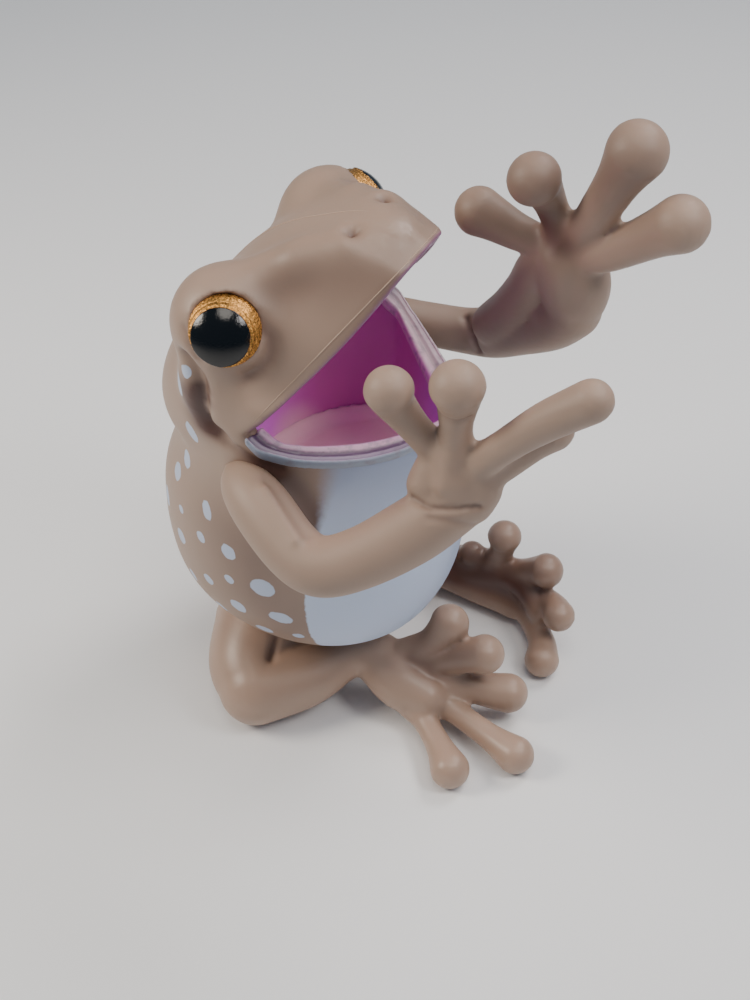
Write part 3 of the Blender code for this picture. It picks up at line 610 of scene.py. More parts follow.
def oval(centre, across, along, power=2.0, pinch=0.0):
    """Points of a superellipse, which may narrow against its second axis."""
    points = []
    for side in range(SIDES):
        turn = 2 * math.pi * side / SIDES
        c = math.cos(turn)
        s = math.sin(turn)
        u = math.copysign(abs(c) ** (2 / power), c)
        v = math.copysign(abs(s) ** (2 / power), s)
        narrow = 1 - pinch * max(0, -v)
        points.append(Vector(centre) + Vector(across) * u * narrow + Vector(along) * v)
    return points


def new_object(name, bm):
    """Link a bmesh, given in the named sizes, as an object in the frame."""
    bmesh.ops.translate(bm, vec=AWAY, verts=bm.verts)
    bmesh.ops.scale(bm, vec=(MM, MM, MM), verts=bm.verts)
    bmesh.ops.recalc_face_normals(bm, faces=bm.faces)
    mesh = bpy.data.meshes.new(name)
    bm.to_mesh(mesh)
    bm.free()
    made = bpy.data.objects.new(name, mesh)
    bpy.context.scene.collection.objects.link(made)
    return made


def loft(name, rings):
    """A closed body whose skin runs through equal rings of points."""
    bm = bmesh.new()
    rows = [[bm.verts.new(point) for point in ring] for ring in rings]
    for low, high in zip(rows, rows[1:]):
        for side in range(len(low)):
            after = (side + 1) % len(low)
            bm.faces.new((low[side], low[after], high[after], high[side]))
    bm.faces.new(rows[0][::-1])
    bm.faces.new(rows[-1])
    return new_object(name, bm)


def limb(name, balls, steps=8):
    """A round-ended tube whose middle and radius follow a run of balls."""
    rows = smooth_rows(balls, steps)
    middles = [Vector(row[:3]) for row in rows]
    heads = []
    for place, _ in enumerate(middles):
        before = middles[max(place - 1, 0)]
        after = middles[min(place + 1, len(middles) - 1)]
        heads.append((after - before).normalized())
    side = heads[0].orthogonal().normalized()
    caps = [(math.sin(turn), math.cos(turn)) for turn in (0.3, 0.6, 0.9, 1.2, 1.4)]
    rings = []
    for place, head in enumerate(heads):
        side = (side - head * side.dot(head)).normalized()
        up = head.cross(side)
        stations = [(0.0, 1.0)]
        if place == 0:
            stations = [(-out, size) for out, size in reversed(caps)] + stations
        if place == len(heads) - 1:
            stations = stations + caps
        for out, size in stations:
            radius = rows[place][3]
            rings.append(oval(middles[place] + head * out * radius, side * radius * size, up * radius * size))
    return loft(name, rings)


def ball(name, centre, radii):
    """An ellipsoid with its axes along X, Y and Z."""
    bm = bmesh.new()
    turned = Matrix.Translation(centre) @ Matrix.Diagonal((*radii, 1))
    bmesh.ops.create_uvsphere(bm, u_segments=SIDES, v_segments=28, radius=1, matrix=turned)
    return new_object(name, bm)


def drop(*objects):
    """Remove helper objects from the file."""
    for thing in objects:
        bpy.data.objects.remove(thing)


def settle(thing):
    """Apply the modifiers of an object."""
    bpy.context.view_layer.update()
    graph = bpy.context.evaluated_depsgraph_get()
    mesh = bpy.data.meshes.new_from_object(thing.evaluated_get(graph))
    thing.modifiers.clear()
    thing.data = mesh


def remesh(thing, cell, rounds, levels=0):
    """Give a body an even skin of small faces, soften it and divide it again."""
    melt = thing.modifiers.new("melt", "REMESH")
    melt.mode = "VOXEL"
    melt.voxel_size = cell * MM
    soften = thing.modifiers.new("soften", "SMOOTH")
    soften.factor = 0.5
    soften.iterations = rounds
    if levels:
        divide = thing.modifiers.new("divide", "SUBSURF")
        divide.levels = levels
        divide.render_levels = levels
    settle(thing)


def fuse(name, forms, cell, rounds, levels=0):
    """Melt overlapping forms into one soft body."""
    bm = bmesh.new()
    for form in forms:
        bm.from_mesh(form.data)
    mesh = bpy.data.meshes.new(name)
    bm.to_mesh(mesh)
    bm.free()
    drop(*forms)
    whole = bpy.data.objects.new(name, mesh)
    bpy.context.scene.collection.objects.link(whole)
    remesh(whole, cell, rounds, levels)
    return whole


def soften(thing, centre, reach, rounds):
    """Even out the creases of a body around a point."""
    points = spots_of(thing)
    edges = np.empty(len(thing.data.edges) * 2, dtype=np.int32)
    thing.data.edges.foreach_get("vertices", edges)
    edges = edges.reshape(-1, 2)
    count = np.bincount(edges.ravel())
    away = np.linalg.norm(points - np.array(centre), axis=1)[:, None]
    share = 0.5 * np.clip(2 * (1 - away / reach), 0, 1)
    for _ in range(rounds):
        total = np.empty_like(points)
        for axis in range(3):
            total[:, axis] = (np.bincount(edges[:, 0], points[edges[:, 1], axis], len(points))
                              + np.bincount(edges[:, 1], points[edges[:, 0], axis], len(points)))
        points += share * (total / count[:, None] - points)
    put_spots(thing, points)


def combine(target, other, way="DIFFERENCE"):
    """Take a closed body out of another, or keep what they share."""
    boolean = target.modifiers.new("combine", "BOOLEAN")
    boolean.operation = way
    boolean.solver = "MANIFOLD"
    boolean.object = other
    settle(target)


def spots_of(thing):
    """The points of a mesh, in millimetres of the named sizes."""
    points = np.empty(len(thing.data.vertices) * 3)
    thing.data.vertices.foreach_get("co", points)
    return points.reshape(-1, 3) / MM - np.array(AWAY)


def normals_of(thing):
    """The direction in which a mesh faces at each of its points."""
    normals = np.empty(len(thing.data.vertices) * 3)
    thing.data.vertex_normals.foreach_get("vector", normals)
    return normals.reshape(-1, 3)


def put_spots(thing, points):
    """Write points, in millimetres of the named sizes, back to a mesh."""
    thing.data.vertices.foreach_set("co", ((points + np.array(AWAY)) * MM).ravel())
    thing.data.update()


def laid(tree, path):
    """Points of a smooth path, each moved to the nearest place on a finished mesh."""
    if len(path) > 1:
        path = smooth_rows(path, 6)
    return np.array([tree.find_nearest((Vector(spot) + AWAY) * MM)[0] / MM - AWAY for spot in path])


def path_distance(points, path):
    """How far each point lies from a run of points."""
    nearest = np.linalg.norm(points - path[0], axis=1)
    for start, end in zip(path, path[1:]):
        run = end - start
        share = np.clip((points - start) @ run / max(run @ run, 1e-9), 0, 1)
        nearest = np.minimum(nearest, np.linalg.norm(points - start - share[:, None] * run, axis=1))
    return nearest


def surface_of(thing):
    """A tree that finds where a line meets a finished mesh, or the nearest place on it."""
    bm = bmesh.new()
    bm.from_mesh(thing.data)
    tree = BVHTree.FromBMesh(bm)
    bm.free()
    return tree


def mark(thing, name, values):
    """Store one number for each point of a mesh."""
    layer = thing.data.attributes.new(name, "FLOAT", "POINT")
    layer.data.foreach_set("value", np.asarray(values, dtype=np.float32))


def head_point(ahead, over, x=0.0):
    """A point given along the mouth line and square to it."""
    run = Vector((0, -math.cos(math.radians(JAW_RISE)), math.sin(math.radians(JAW_RISE))))
    square = Vector((0, run.z, -run.y))
    return Vector((x, *MOUTH_CORNER)) + run * ahead + square * over


def mouth_line(sink=0.0):
    """Side-view points of the upper lip from the mouth corner outwards, as (y, z)."""
    points = []
    for step in range(25):
        share = step / 24
        bow = LIP_SAG * math.sin(math.pi * share)
        spot = head_point(JAW_LENGTH * share, sink - bow)
        points.append((spot.y, spot.z))
    return points


def prism(name, outline, half_width):
    """A flat side-view outline carried through from side to side."""
    bm = bmesh.new()
    rows = [[bm.verts.new((x, y, z)) for y, z in outline] for x in (-half_width, half_width)]
    bm.faces.new(rows[0])
    bm.faces.new(rows[1][::-1])
    for place in range(len(outline)):
        after = (place + 1) % len(outline)
        bm.faces.new((rows[0][place], rows[1][place], rows[1][after], rows[0][after]))
    return new_object(name, bm)


def gape(sink=0.0):
    """The open wedge between the jaws, which may reach a little into both."""
    lower = smooth_rows(RIM, 5)
    beyond = head_point(60, sink)
    outline = mouth_line(sink) + [(beyond.y, beyond.z), (-60, 90), (-60, 56)]
    outline += [(y, z - sink) for y, z in lower[:0:-1]]
    return prism("gape", outline, 30)


def bag_form():
    """The torso, neck and lower jaw as one closed bag."""
    rings = []
    for z, y, wide, deep, pinch in smooth_rows(BAG, 6):
        rings.append(oval((0, y, z), (wide, 0, 0), (0, deep, 0), 2.1, pinch))
    return loft("bag", rings)


def skull_form():
    """The upper head, from the nape to the snout."""
    rings = []
    square = head_point(0, 1) - head_point(0, 0)
    for ahead, wide, high in smooth_rows(SKULL, 6):
        power = 2.2 + SNOUT_SQUARE * abs(ahead)
        rings.append(oval(head_point(ahead, 0), (wide, 0, 0), square * high, power, 0.8))
    return loft("skull", rings)


def scoop(name, inset=0.0):
    """The hollow of the mouth: a cup behind the lower jaw and a shallow roof in the skull."""
    rings = []
    for share in (0.0, 0.02, 0.05, 0.12, 0.25, 0.5, 0.75, 1.0):
        draw = (1 - share) ** 2 * 1.3 + (0.8 if share == 0 else 0) + inset
        front = SCOOP_FRONT + draw
        back = SCOOP_BACK - draw
        front_z = (FLOOR_FRONT + inset) * (1 - share) + (SCOOP_TOP - inset) * share
        back_z = (FLOOR_BACK + inset) * (1 - share) + (SCOOP_TOP - inset) * share
        middle = (0, (front + back) / 2, (front_z + back_z) / 2)
        along = ((back - front) / 2, (back_z - front_z) / 2)
        rings.append(oval(middle, (SCOOP_WIDE - draw, 0, 0), (0, *along), 2.2, 0.7))
    cup = loft("cup", rings)
    rings = []
    square = head_point(0, 1) - head_point(0, 0)
    for ahead, wide, high in smooth_rows(SKULL[4:11], 4):
        wall = LIP_WALL + inset
        middle = head_point(ahead - wall, -0.6)
        half = min(wide - wall, SCOOP_WIDE - inset)
        rings.append(oval(middle, (half, 0, 0), square * (PALATE_DEPTH + 0.6 - inset), 2.2))
    roof = loft("roof", rings)
    return fuse(name, [cup, roof], *HOLLOW_MELT)


def add(tree, kind, *inputs, output=None, **named):
    """Add a node, feed its open inputs in order and others by name, and give back one open output.

    An input is fed by a constant or by another node's output. A name is one of the node's settings,
    or else one of its inputs, and the first open output is meant where none is named.
    """
    node = tree.nodes.new(kind)
    fed = {}
    for name, value in named.items():
        if hasattr(node, name):
            setattr(node, name, value)
        else:
            fed[name.replace("_", " ")] = value
    pairs = list(zip([socket for socket in node.inputs if socket.enabled], inputs))
    pairs += [(node.inputs[name], value) for name, value in fed.items()]
    for socket, value in pairs:
        if isinstance(value, bpy.types.NodeSocket):
            tree.links.new(value, socket)
        elif socket.type == "RGBA":
            socket.default_value = (*value, 1)
        else:
            socket.default_value = value
    found = [socket for socket in node.outputs if socket.enabled and output in (None, socket.name)]
    return found[0] if found else None


def new_material(name, rough, **constants):
    """A material with its shader, and the place on the toy in millimetres of the named sizes."""
    made = bpy.data.materials.new(name)
    made.use_nodes = True
    tree = made.node_tree
    shader = tree.nodes["Principled BSDF"]
    shader.inputs["Roughness"].default_value = rough
    for socket, value in constants.items():
        shader.inputs[socket.replace("_", " ")].default_value = value
    place = add(tree, "ShaderNodeTexCoord", output="Object")
    spot = add(tree, "ShaderNodeMapping", place, -AWAY, Scale=(1 / MM,) * 3)
    return made, tree, shader, spot


def tinted(colour, share):
    """A colour times a share, or times a share for each of its channels."""
    return tuple(np.multiply(colour, share).tolist())


def tooth(tree, shader, spot, size, height):
    """A fine tooth on the surface, of a size and height in millimetres."""
    cloud = add(tree, NOISE, spot, 1 / size, 3.0)
    bump = add(tree, "ShaderNodeBump", Height=cloud, Distance=height * MM)
    tree.links.new(bump, shader.inputs["Normal"])


def skin_colour(tree, spot, colour):
    """Beige plastic with faint clouds, darkened by painted shade in its folds and shadowed places."""
    cloud = add(tree, NOISE, spot, 1 / SKIN_CLOUD)
    clouded = add(tree, MIX, cloud, tinted(colour, 0.94), tinted(colour, 1.06), **COLOURS)
    fold = add(tree, STORED, attribute_name="fold", output="Fac")
    return add(tree, MIX, fold, clouded, tinted(colour, PAINTED_SHADE_TINT), **COLOURS)


def soft_pvc(name, colour, rough):
    """Soft PVC, moulded with its colour in it: satin, a little see-through at its edges, lightly toothed,
    with painted shade in its folds and shadowed places.
    """
    made, tree, shader, spot = new_material(name, rough, IOR=PVC_IOR, Subsurface_Weight=0.10,
                                            Subsurface_Radius=(1.0, 0.45, 0.3), Subsurface_Scale=0.6 * MM)
    tree.links.new(skin_colour(tree, spot, colour), shader.inputs["Base Color"])
    tooth(tree, shader, spot, *SKIN_TOOTH)
    return made


def belly_cover(tree, spot):
    """Where the white paint covers the skin: hard-edged low down, soft under the chin, none over the rim."""
    y = add(tree, AXES, spot, output="Y")
    z = add(tree, AXES, spot, output="Z")
    cloud = add(tree, NOISE, spot, 1 / EDGE_CLOUD)
    edge = add(tree, MATH, cloud, BELLY_RAGGED, BELLY_EDGE - BELLY_RAGGED / 2, operation="MULTIPLY_ADD")
    climb = add(tree, MATH, z, BELLY_LEVEL, operation="SUBTRACT")
    climb = add(tree, MATH, climb, 0.0, operation="MAXIMUM")
    edge = add(tree, MATH, climb, -BELLY_LEAN, edge, operation="MULTIPLY_ADD")
    inside = add(tree, MATH, edge, y, operation="SUBTRACT")
    soft = add(tree, RANGE, z, *BELLY_SOFTENS)
    inside = add(tree, MATH, inside, soft, operation="DIVIDE")
    white = add(tree, RANGE, inside, -1.0, 1.0, **EASED)
    under = add(tree, RANGE, z, *BELLY_TOP, **EASED)
    return add(tree, MATH, white, under, operation="MULTIPLY")


def belly_colour_and_shade(tree, spot, belly):
    """White paint with painted shade that turns it grey blue under the chin and round towards the left side.
    """
    high = add(tree, RANGE, add(tree, AXES, spot, output="Z"), *BELLY_CHIN_SHADE, **EASED)
    far = add(tree, RANGE, add(tree, AXES, spot, output="X"), *BELLY_LEFT_SHADE, **EASED)
    share = add(tree, MATH, high, far, operation="MAXIMUM")
    return add(tree, MIX, share, belly, tinted(belly, (0.50, 0.52, 0.60)), **COLOURS)


def dot_cover(tree, spot, dots):
    """Where the painted spots lie, each an oval with a slightly uneven edge."""
    wobble = add(tree, NOISE, spot, 1.2, output="Color")
    shift = add(tree, VECTORS, wobble, (0.5,) * 3, operation="SUBTRACT")
    shift = add(tree, VECTORS, shift, 0.35, operation="SCALE")
    moved = add(tree, VECTORS, spot, shift, operation="ADD")
    nearest = NO_DOT
    for centre, turn, long, short in dots:
        local = add(tree, "ShaderNodeMapping", moved, centre, turn, (short, long, 2.0), vector_type="TEXTURE")
        reach = add(tree, VECTORS, local, operation="LENGTH")
        nearest = add(tree, MATH, reach, nearest, operation="MINIMUM")
    return add(tree, RANGE, nearest, *DOT_EDGE, **EASED)


def snout_gloss(tree, spot, rough):
    """Roughness that falls in worn patches round the snout's tip, which wear has polished."""
    tip = add(tree, VECTORS, spot, SNOUT_TIP, operation="DISTANCE")
    polish = add(tree, RANGE, tip, *SNOUT_POLISH, **EASED)
    worn = add(tree, RANGE, add(tree, NOISE, spot, 1 / WORN_CLOUD, 4.0), 0.35, 0.65, **EASED)
    return add(tree, MATH, polish, worn, rough, operation="MULTIPLY_ADD")


def body_paint(paints, dots):
    """Soft PVC with painted shade in its folds and shadowed places, a sprayed white belly with painted shade,
    brushed white spots and purple dusted under the upper lip.
    """
    made, tree, shader, spot = new_material("sprayed_pvc_skin", BODY_ROUGH, IOR=PVC_IOR,
                                            Subsurface_Weight=0.08, Subsurface_Radius=(1.0, 0.5, 0.35),
                                            Subsurface_Scale=0.6 * MM)
    under = add(tree, STORED, attribute_name="under_lip", output="Fac")
    under = add(tree, MATH, under, 0.85, operation="MULTIPLY")
    colour = skin_colour(tree, spot, paints.skin)
    for cover, paint in (
        (belly_cover(tree, spot), belly_colour_and_shade(tree, spot, paints.belly)),
        (under, tinted(paints.mouth, (0.27, 0.28, 0.23))),
        (dot_cover(tree, spot, dots), tinted(paints.belly, 0.9)),
    ):
        colour = add(tree, MIX, cover, colour, paint, **COLOURS)
    tree.links.new(colour, shader.inputs["Base Color"])
    tree.links.new(snout_gloss(tree, spot, BODY_ROUGH), shader.inputs["Roughness"])
    tooth(tree, shader, spot, *SKIN_TOOTH)
    return made


def lip_paint(paints):
    """Satin PVC rim in bands, lighter on its raised edges, with painted shade in its groove and under it and
    painted light to the left.
    """
    made, tree, shader, spot = new_material("painted_lip_pvc", 0.4, IOR=PVC_IOR, Subsurface_Weight=0.1,
                                            Subsurface_Radius=(1.0, 0.5, 0.5), Subsurface_Scale=0.5 * MM)
    cloud = add(tree, NOISE, spot, 1 / EDGE_CLOUD, 4.0)
    across = add(tree, STORED, attribute_name="across", output="Fac")
    across = add(tree, MATH, cloud, LIP_RAGGED, across, operation="MULTIPLY_ADD")
    across = add(tree, MATH, across, LIP_RAGGED / 2, operation="SUBTRACT")
    # The outer wall under the rim starts in painted shade: the belly's white darkened.
    colour = tinted(paints.belly, 0.52)
    start = 0.0
    for end, shade in LIP_BANDS:
        share = add(tree, RANGE, across, start, end, **EASED)
        colour = add(tree, MIX, share, colour, tinted(paints.lip, shade), **COLOURS)
        start = end
    # Painted light: the rim is lightened towards the frog's left.
    far = add(tree, RANGE, add(tree, AXES, spot, output="X"), *LIP_LEFT_LIGHT, **EASED)
    streaks = add(tree, RANGE, add(tree, NOISE, spot, 1 / STREAK_CLOUD, 3.0), *LIP_STREAKS, **EASED)
    for cover, shade in ((far, (1.9, 1.7, 1.4)), (streaks, 0.55)):
        colour = add(tree, MIX, cover, colour, tinted(paints.lip, shade), **COLOURS)
    tree.links.new(colour, shader.inputs["Base Color"])
    tooth(tree, shader, spot, *LIP_TOOTH)
    return made


def mouth_paint(paints):
    """Satin purple paint sprayed into the mouth, violet high up, pink by the cheeks, with painted shade
    darkening its left wall to wine red.
    """
    made, tree, shader, spot = new_material("sprayed_mouth_paint", 0.42, IOR=1.5, Subsurface_Weight=0.15,
                                            Subsurface_Radius=(1.0, 0.3, 0.8), Subsurface_Scale=1.0 * MM)
    x, y, z = (add(tree, AXES, spot, output=axis) for axis in "XYZ")
    folded = add(tree, "ShaderNodeCombineXYZ", add(tree, MATH, x, operation="ABSOLUTE"), y, z)
    cheek = add(tree, VECTORS, folded, MOUTH_PINK, operation="DISTANCE")
    cloud = add(tree, NOISE, spot, 1 / MOUTH_CLOUD)
    colour = add(tree, MIX, cloud, tinted(paints.mouth, 0.85), paints.mouth, **COLOURS)
    for place, fade, paint in (
        (z, MOUTH_VIOLET, tinted(paints.mouth, (0.75, 0.8, 1.0))),
        # painted shade: the left wall darkened to a wine red
        (x, MOUTH_LEFT_SHADE, tinted(paints.mouth, (0.7, 0.5, 0.36))),
        (cheek, CHEEK_PINK, paints.floor),
    ):
        colour = add(tree, MIX, add(tree, RANGE, place, *fade, **EASED), colour, paint, **COLOURS)
    tree.links.new(colour, shader.inputs["Base Color"])
    tooth(tree, shader, spot, *MOUTH_TOOTH)
    return made


def floor_paint(paints):
    """Pink paint on the mouth's floor, with the purple of the walls dusted over its edge."""
    made, tree, shader, spot = new_material("sprayed_tongue_paint", 0.45, IOR=1.5, Subsurface_Weight=0.15,
                                            Subsurface_Radius=(1.0, 0.4, 0.5), Subsurface_Scale=1.0 * MM)
    edge = add(tree, STORED, attribute_name="edge", output="Fac")
    edge = add(tree, MATH, add(tree, NOISE, spot, 1 / DUST_CLOUD), 0.25, edge, operation="MULTIPLY_ADD")
    dust = add(tree, RANGE, edge, *FLOOR_DUST, **EASED)
    cloud = add(tree, NOISE, spot, 1 / FLOOR_CLOUD)
    colour = add(tree, MIX, cloud, tinted(paints.floor, 0.92), tinted(paints.floor, 1.06), **COLOURS)
    colour = add(tree, MIX, dust, colour, tinted(paints.mouth, 0.45), **COLOURS)
    tree.links.new(colour, shader.inputs["Base Color"])
    tooth(tree, shader, spot, *MOUTH_TOOTH)
    return made


def eye_paint(side, paints):
    """Metallic gold enamel round a gloss black pupil, brushed on, so that its edge is ragged.

    Real gold flake is finer than the render shows, so it is drawn coarser here.
    """
    made, tree, shader, spot = new_material("eye_enamel_" + side, 0.2, IOR=1.5)
    centre = eye_middle(side) + mirrored(PUPIL_LOOK)[side].normalized() * EYE_RADIUS
    away = add(tree, VECTORS, spot, centre, operation="DISTANCE")
    cloud = add(tree, NOISE, spot, 1 / ENAMEL_CLOUD, 4.0)
    away = add(tree, MATH, cloud, EYE_RAGGED, away, operation="MULTIPLY_ADD")
    away = add(tree, MATH, away, EYE_RAGGED / 2, operation="SUBTRACT")
    gold = add(tree, RANGE, away, PUPIL_REACH - 0.03, PUPIL_REACH + 0.03, **EASED)
    flake = add(tree, NOISE, spot, 1 / GOLD_FLAKE, 4.0)
    shine = add(tree, RANGE, flake, 0.3, 0.7, **EASED)
    rim = add(tree, RANGE, away, IRIS_REACH - 0.25, IRIS_REACH + 0.2, **EASED)
    colour = add(tree, MIX, shine, tinted(paints.iris, 0.35), tinted(paints.iris, 1.7), **COLOURS)
    colour = add(tree, MIX, rim, colour, tinted(paints.iris, 0.16), **COLOURS)
    colour = add(tree, MIX, gold, paints.pupil, colour, **COLOURS)
    tree.links.new(colour, shader.inputs["Base Color"])
    tree.links.new(add(tree, MATH, gold, 0.85, operation="MULTIPLY"), shader.inputs["Metallic"])
    rough = add(tree, MATH, gold, 0.24, 0.12, operation="MULTIPLY_ADD")
    tree.links.new(rough, shader.inputs["Roughness"])
    raised = add(tree, MATH, gold, 0.25, operation="ADD")
    hammered = add(tree, MATH, flake, raised, operation="MULTIPLY")
    bump = add(tree, "ShaderNodeBump", Height=hammered, Distance=0.06 * MM)
    tree.links.new(bump, shader.inputs["Normal"])
    return made


def finish_piece(piece, material, nodes):
    """Give a finished piece its material, its body and the frame nodes that it stands for."""
    piece.data.materials.clear()
    piece.data.materials.append(material)
    piece.data.shade_smooth()
    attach(piece, "root")
    if nodes:
        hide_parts(*nodes)


def onto(tree, start, heading):
    """Where a line first meets a surface, and the surface's normal there, in the named sizes."""
    spot, normal, _, _ = tree.ray_cast((Vector(start) + AWAY) * MM, Vector(heading).normalized())
    if spot is None:
        raise RuntimeError("a line meant for the skin misses it: %s" % (tuple(start),))
    return spot / MM - AWAY, normal


def dot_places(tree, scale):
    """Where each painted spot lies on the body, how it is turned, and its half length and half width."""
    draw = np.random.default_rng(7)
    rows = [("right", *row) for row in SPOTS]
    for angle, height, long, short, tilt in SPOTS:
        rows.append(("left", angle + draw.uniform(-3, 3), height + draw.uniform(-1, 1), long, short, -tilt))
    for height in BACK_SPOT_HEIGHTS:
        for angle in BACK_SPOT_ANGLES:
            size = draw.uniform(0.45, 1.15)
            rows.append(("right", angle + draw.uniform(-7, 7), height + draw.uniform(-1.7, 1.7),
                         size * draw.uniform(1.0, 1.35), size, draw.uniform(-40, 40)))
    places = []
    for side, angle, height, long, short, tilt in rows:
        turn = math.radians(angle)
        out = mirrored((math.cos(turn), math.sin(turn), 0))[side]
        spot, normal = onto(tree, Vector((0, -1.5, height)) + out * WELL_OUT, -out)
        up = (Vector((0, 0, 1)) - normal * normal.z).normalized()
        up = Matrix.Rotation(math.radians(tilt), 3, normal) @ up
        across = up.cross(normal)
        turned = Matrix((across, up, normal)).transposed().to_euler()
        places.append((spot, turned, long * scale, short * scale))
    return places


def flow_line(name, points):
    """A fine raised line that follows points laid on the skin."""
    mesh = bpy.data.meshes.new(name)
    steps = [(place, place + 1) for place in range(len(points) - 1)]
    mesh.from_pydata([(point + AWAY) * MM for point in points], steps, [])
    line = bpy.data.objects.new(name, mesh)
    bpy.context.scene.collection.objects.link(line)
    return line


def seam_nodes(material):
    """Geometry Nodes that draw a bead of a given radius, thicker and thinner by turns, along a line."""
    tree = bpy.data.node_groups.new("mould_line", "GeometryNodeTree")
    tree.interface.new_socket("Line", in_out="INPUT", socket_type="NodeSocketGeometry")
    tree.interface.new_socket("Radius", in_out="INPUT", socket_type="NodeSocketFloat")
    tree.interface.new_socket("Bead", in_out="OUTPUT", socket_type="NodeSocketGeometry")
    curve = add(tree, "GeometryNodeMeshToCurve", add(tree, "NodeGroupInput", output="Line"))
    curve = add(tree, "GeometryNodeResampleCurve", curve, Length=SEAM_STEP * MM, mode="LENGTH")
    along = add(tree, "GeometryNodeInputPosition")
    wave = add(tree, NOISE, along, 1 / (SEAM_WAVE * MM))
    ends = add(tree, "GeometryNodeSplineParameter", output="Factor")
    taper = add(tree, MATH, ends, math.pi, operation="MULTIPLY")
    taper = add(tree, MATH, taper, operation="SINE")
    taper = add(tree, MATH, taper, SEAM_TAPER, operation="MULTIPLY")
    taper = add(tree, MATH, taper, 1.0, operation="MINIMUM")
    size = add(tree, MATH, wave, SEAM_THIN, operation="ADD")
    size = add(tree, MATH, size, taper, operation="MULTIPLY")
    size = add(tree, MATH, size, add(tree, "NodeGroupInput", output="Radius"), operation="MULTIPLY")
    ring = add(tree, "GeometryNodeCurvePrimitiveCircle", 8, 1.0, mode="RADIUS")
    bead = add(tree, "GeometryNodeCurveToMesh", curve, ring, size, True)
    bead = add(tree, "GeometryNodeSetShadeSmooth", bead)
    bead = add(tree, "GeometryNodeRealizeInstances", bead)
    bead = add(tree, "GeometryNodeSetMaterial", bead, Material=material)
    add(tree, "NodeGroupOutput", Bead=bead)
    return tree


def line_round(skin, middle, ahead, side, turns, count):
    """Points on the skin where rays from outside aim at a middle point, from one angle to another."""
    points = []
    for turn in np.linspace(math.radians(turns[0]), math.radians(turns[1]), count):
        out = ahead * math.cos(turn) + side * math.sin(turn)
        spot, _ = onto(skin, middle + out * WELL_OUT, -out)
        points.append(spot)
    return points


def mould_lines(skin):
    """The parting lines by name: round the upper lip from side to side, and from the snout down the back."""
    ahead = head_point(1, 0) - head_point(0, 0)
    across = Vector((1, 0, 0))
    lip = line_round(skin, head_point(LIP_MIDDLE, LIP_LINE_OVER), ahead, across,
                     (-LIP_LINE_TURN, LIP_LINE_TURN), 120)
    crown = line_round(skin, Vector(CROWN_MIDDLE), Vector((0, 1, 0)), Vector((0, 0, 1)), CROWN_TURNS, 140)
    return {"lip_mould_line": lip, "crown_mould_line": crown}


def sculpt(thing, folds):
    """Press a table of soft folds and dents into a body, or swell it where a depth is under zero."""
    tree = surface_of(thing)
    for path, width, depth, _ in folds:
        points = spots_of(thing)
        amount = np.exp(-(path_distance(points, laid(tree, path)) / width) ** 2)
        put_spots(thing, points - normals_of(thing) * (amount * depth)[:, None])


def shade_folds(thing, folds):
    """Store the shade painted along a table of folds and over shadowed places."""
    points = spots_of(thing)
    tree = surface_of(thing)
    shade = np.zeros(len(points))
    for path, width, _, amount in folds:
        if amount:
            shade += amount * np.exp(-(path_distance(points, laid(tree, path)) / (width * 0.8)) ** 2)
    mark(thing, "fold", np.clip(shade, 0, 1))


def both_sides(folds):
    """Folds given for the frog's right side, with their mirror images."""
    made = list(folds)
    for path, width, depth, shade in folds:
        made.append((tuple((-x, y, z) for x, y, z in path), width, depth, shade))
    return made


def body_folds(depth):
    """The folds, swellings and painted shades of the head and body, as path, width, depth and painted shade.
    """
    return both_sides((
        (EYE_FOLD, 0.75, 1.1 * depth, 0.5),
        (LID_FOLD, 0.45, 0.6 * depth, 0.3),
        (FACE_HOLLOW, 3.1, 1.0 * depth, 0.0),
        (FACE_HOLLOW, 4.4, 0.0, 0.36),
        (BROW_FRONT, 1.9, -1.0, 0.0),
        (CHEEK_FOLD, 0.85, 1.9 * depth, 0.8),
        (CORNER_FOLD, 0.55, 0.7 * depth, 0.3),
        (NECK_SHADE, 2.0, 0.0, 0.9),
        (ARM_SHADE, 2.4, 0.0, 0.95),
        (FLANK_SHADE, 6.0, 0.0, 0.42),
        (NOSTRIL_SPOT, 0.8, 0.0, 0.75),
        (CANTHUS, 1.9, -0.6, 0.0),
        (SNOUT_SHOULDER, 1.5, 0.4, 0.0),
    ))


def build_body(sizes):
    """The torso, jaw and head in one skin, opened at the mouth, eyes and nostrils."""
    forms = [bag_form(), skull_form()]
    for side in ("right", "left"):
        forms.append(ball("brow", mirrored(BROW_CENTRE)[side], (BROW_RADIUS,) * 3))
        forms.append(ball("cheek", mirrored(CHEEK_CENTRE)[side], CHEEK_RADII))
    body = fuse("moulded_body", forms, *BODY_MELT)
    for centre in mirrored(BROW_CENTRE).values():
        soften(body, centre, BROW_REACH, BROW_ROUNDS)
    folds = body_folds(sizes.fold_depth / MM)
    sculpt(body, folds)
    cutters = [gape(), scoop("hollow")]
    for side in ("right", "left"):
        look = mirrored(OPENING_LOOK)[side].normalized()
        wide = look.orthogonal().normalized() * OPENING_RADIUS
        rings = []
        for out, grow in OPENING_RINGS:
            rings.append(oval(eye_middle(side) + look * out, wide * grow, look.cross(wide) * grow))
        cutters.append(loft("opening", rings))
    for cutter in cutters:
        combine(body, cutter)
    drop(*cutters)
    remesh(body, *SKIN_MELT)
    radius = sizes.nostril_radius / MM
    sculpt(body, both_sides(((NOSTRIL_SPOT, radius * 1.05, radius * 1.2, 0.0),)))
    shade_folds(body, folds)
    mark(body, "under_lip", under_lip(spots_of(body)))
    return body


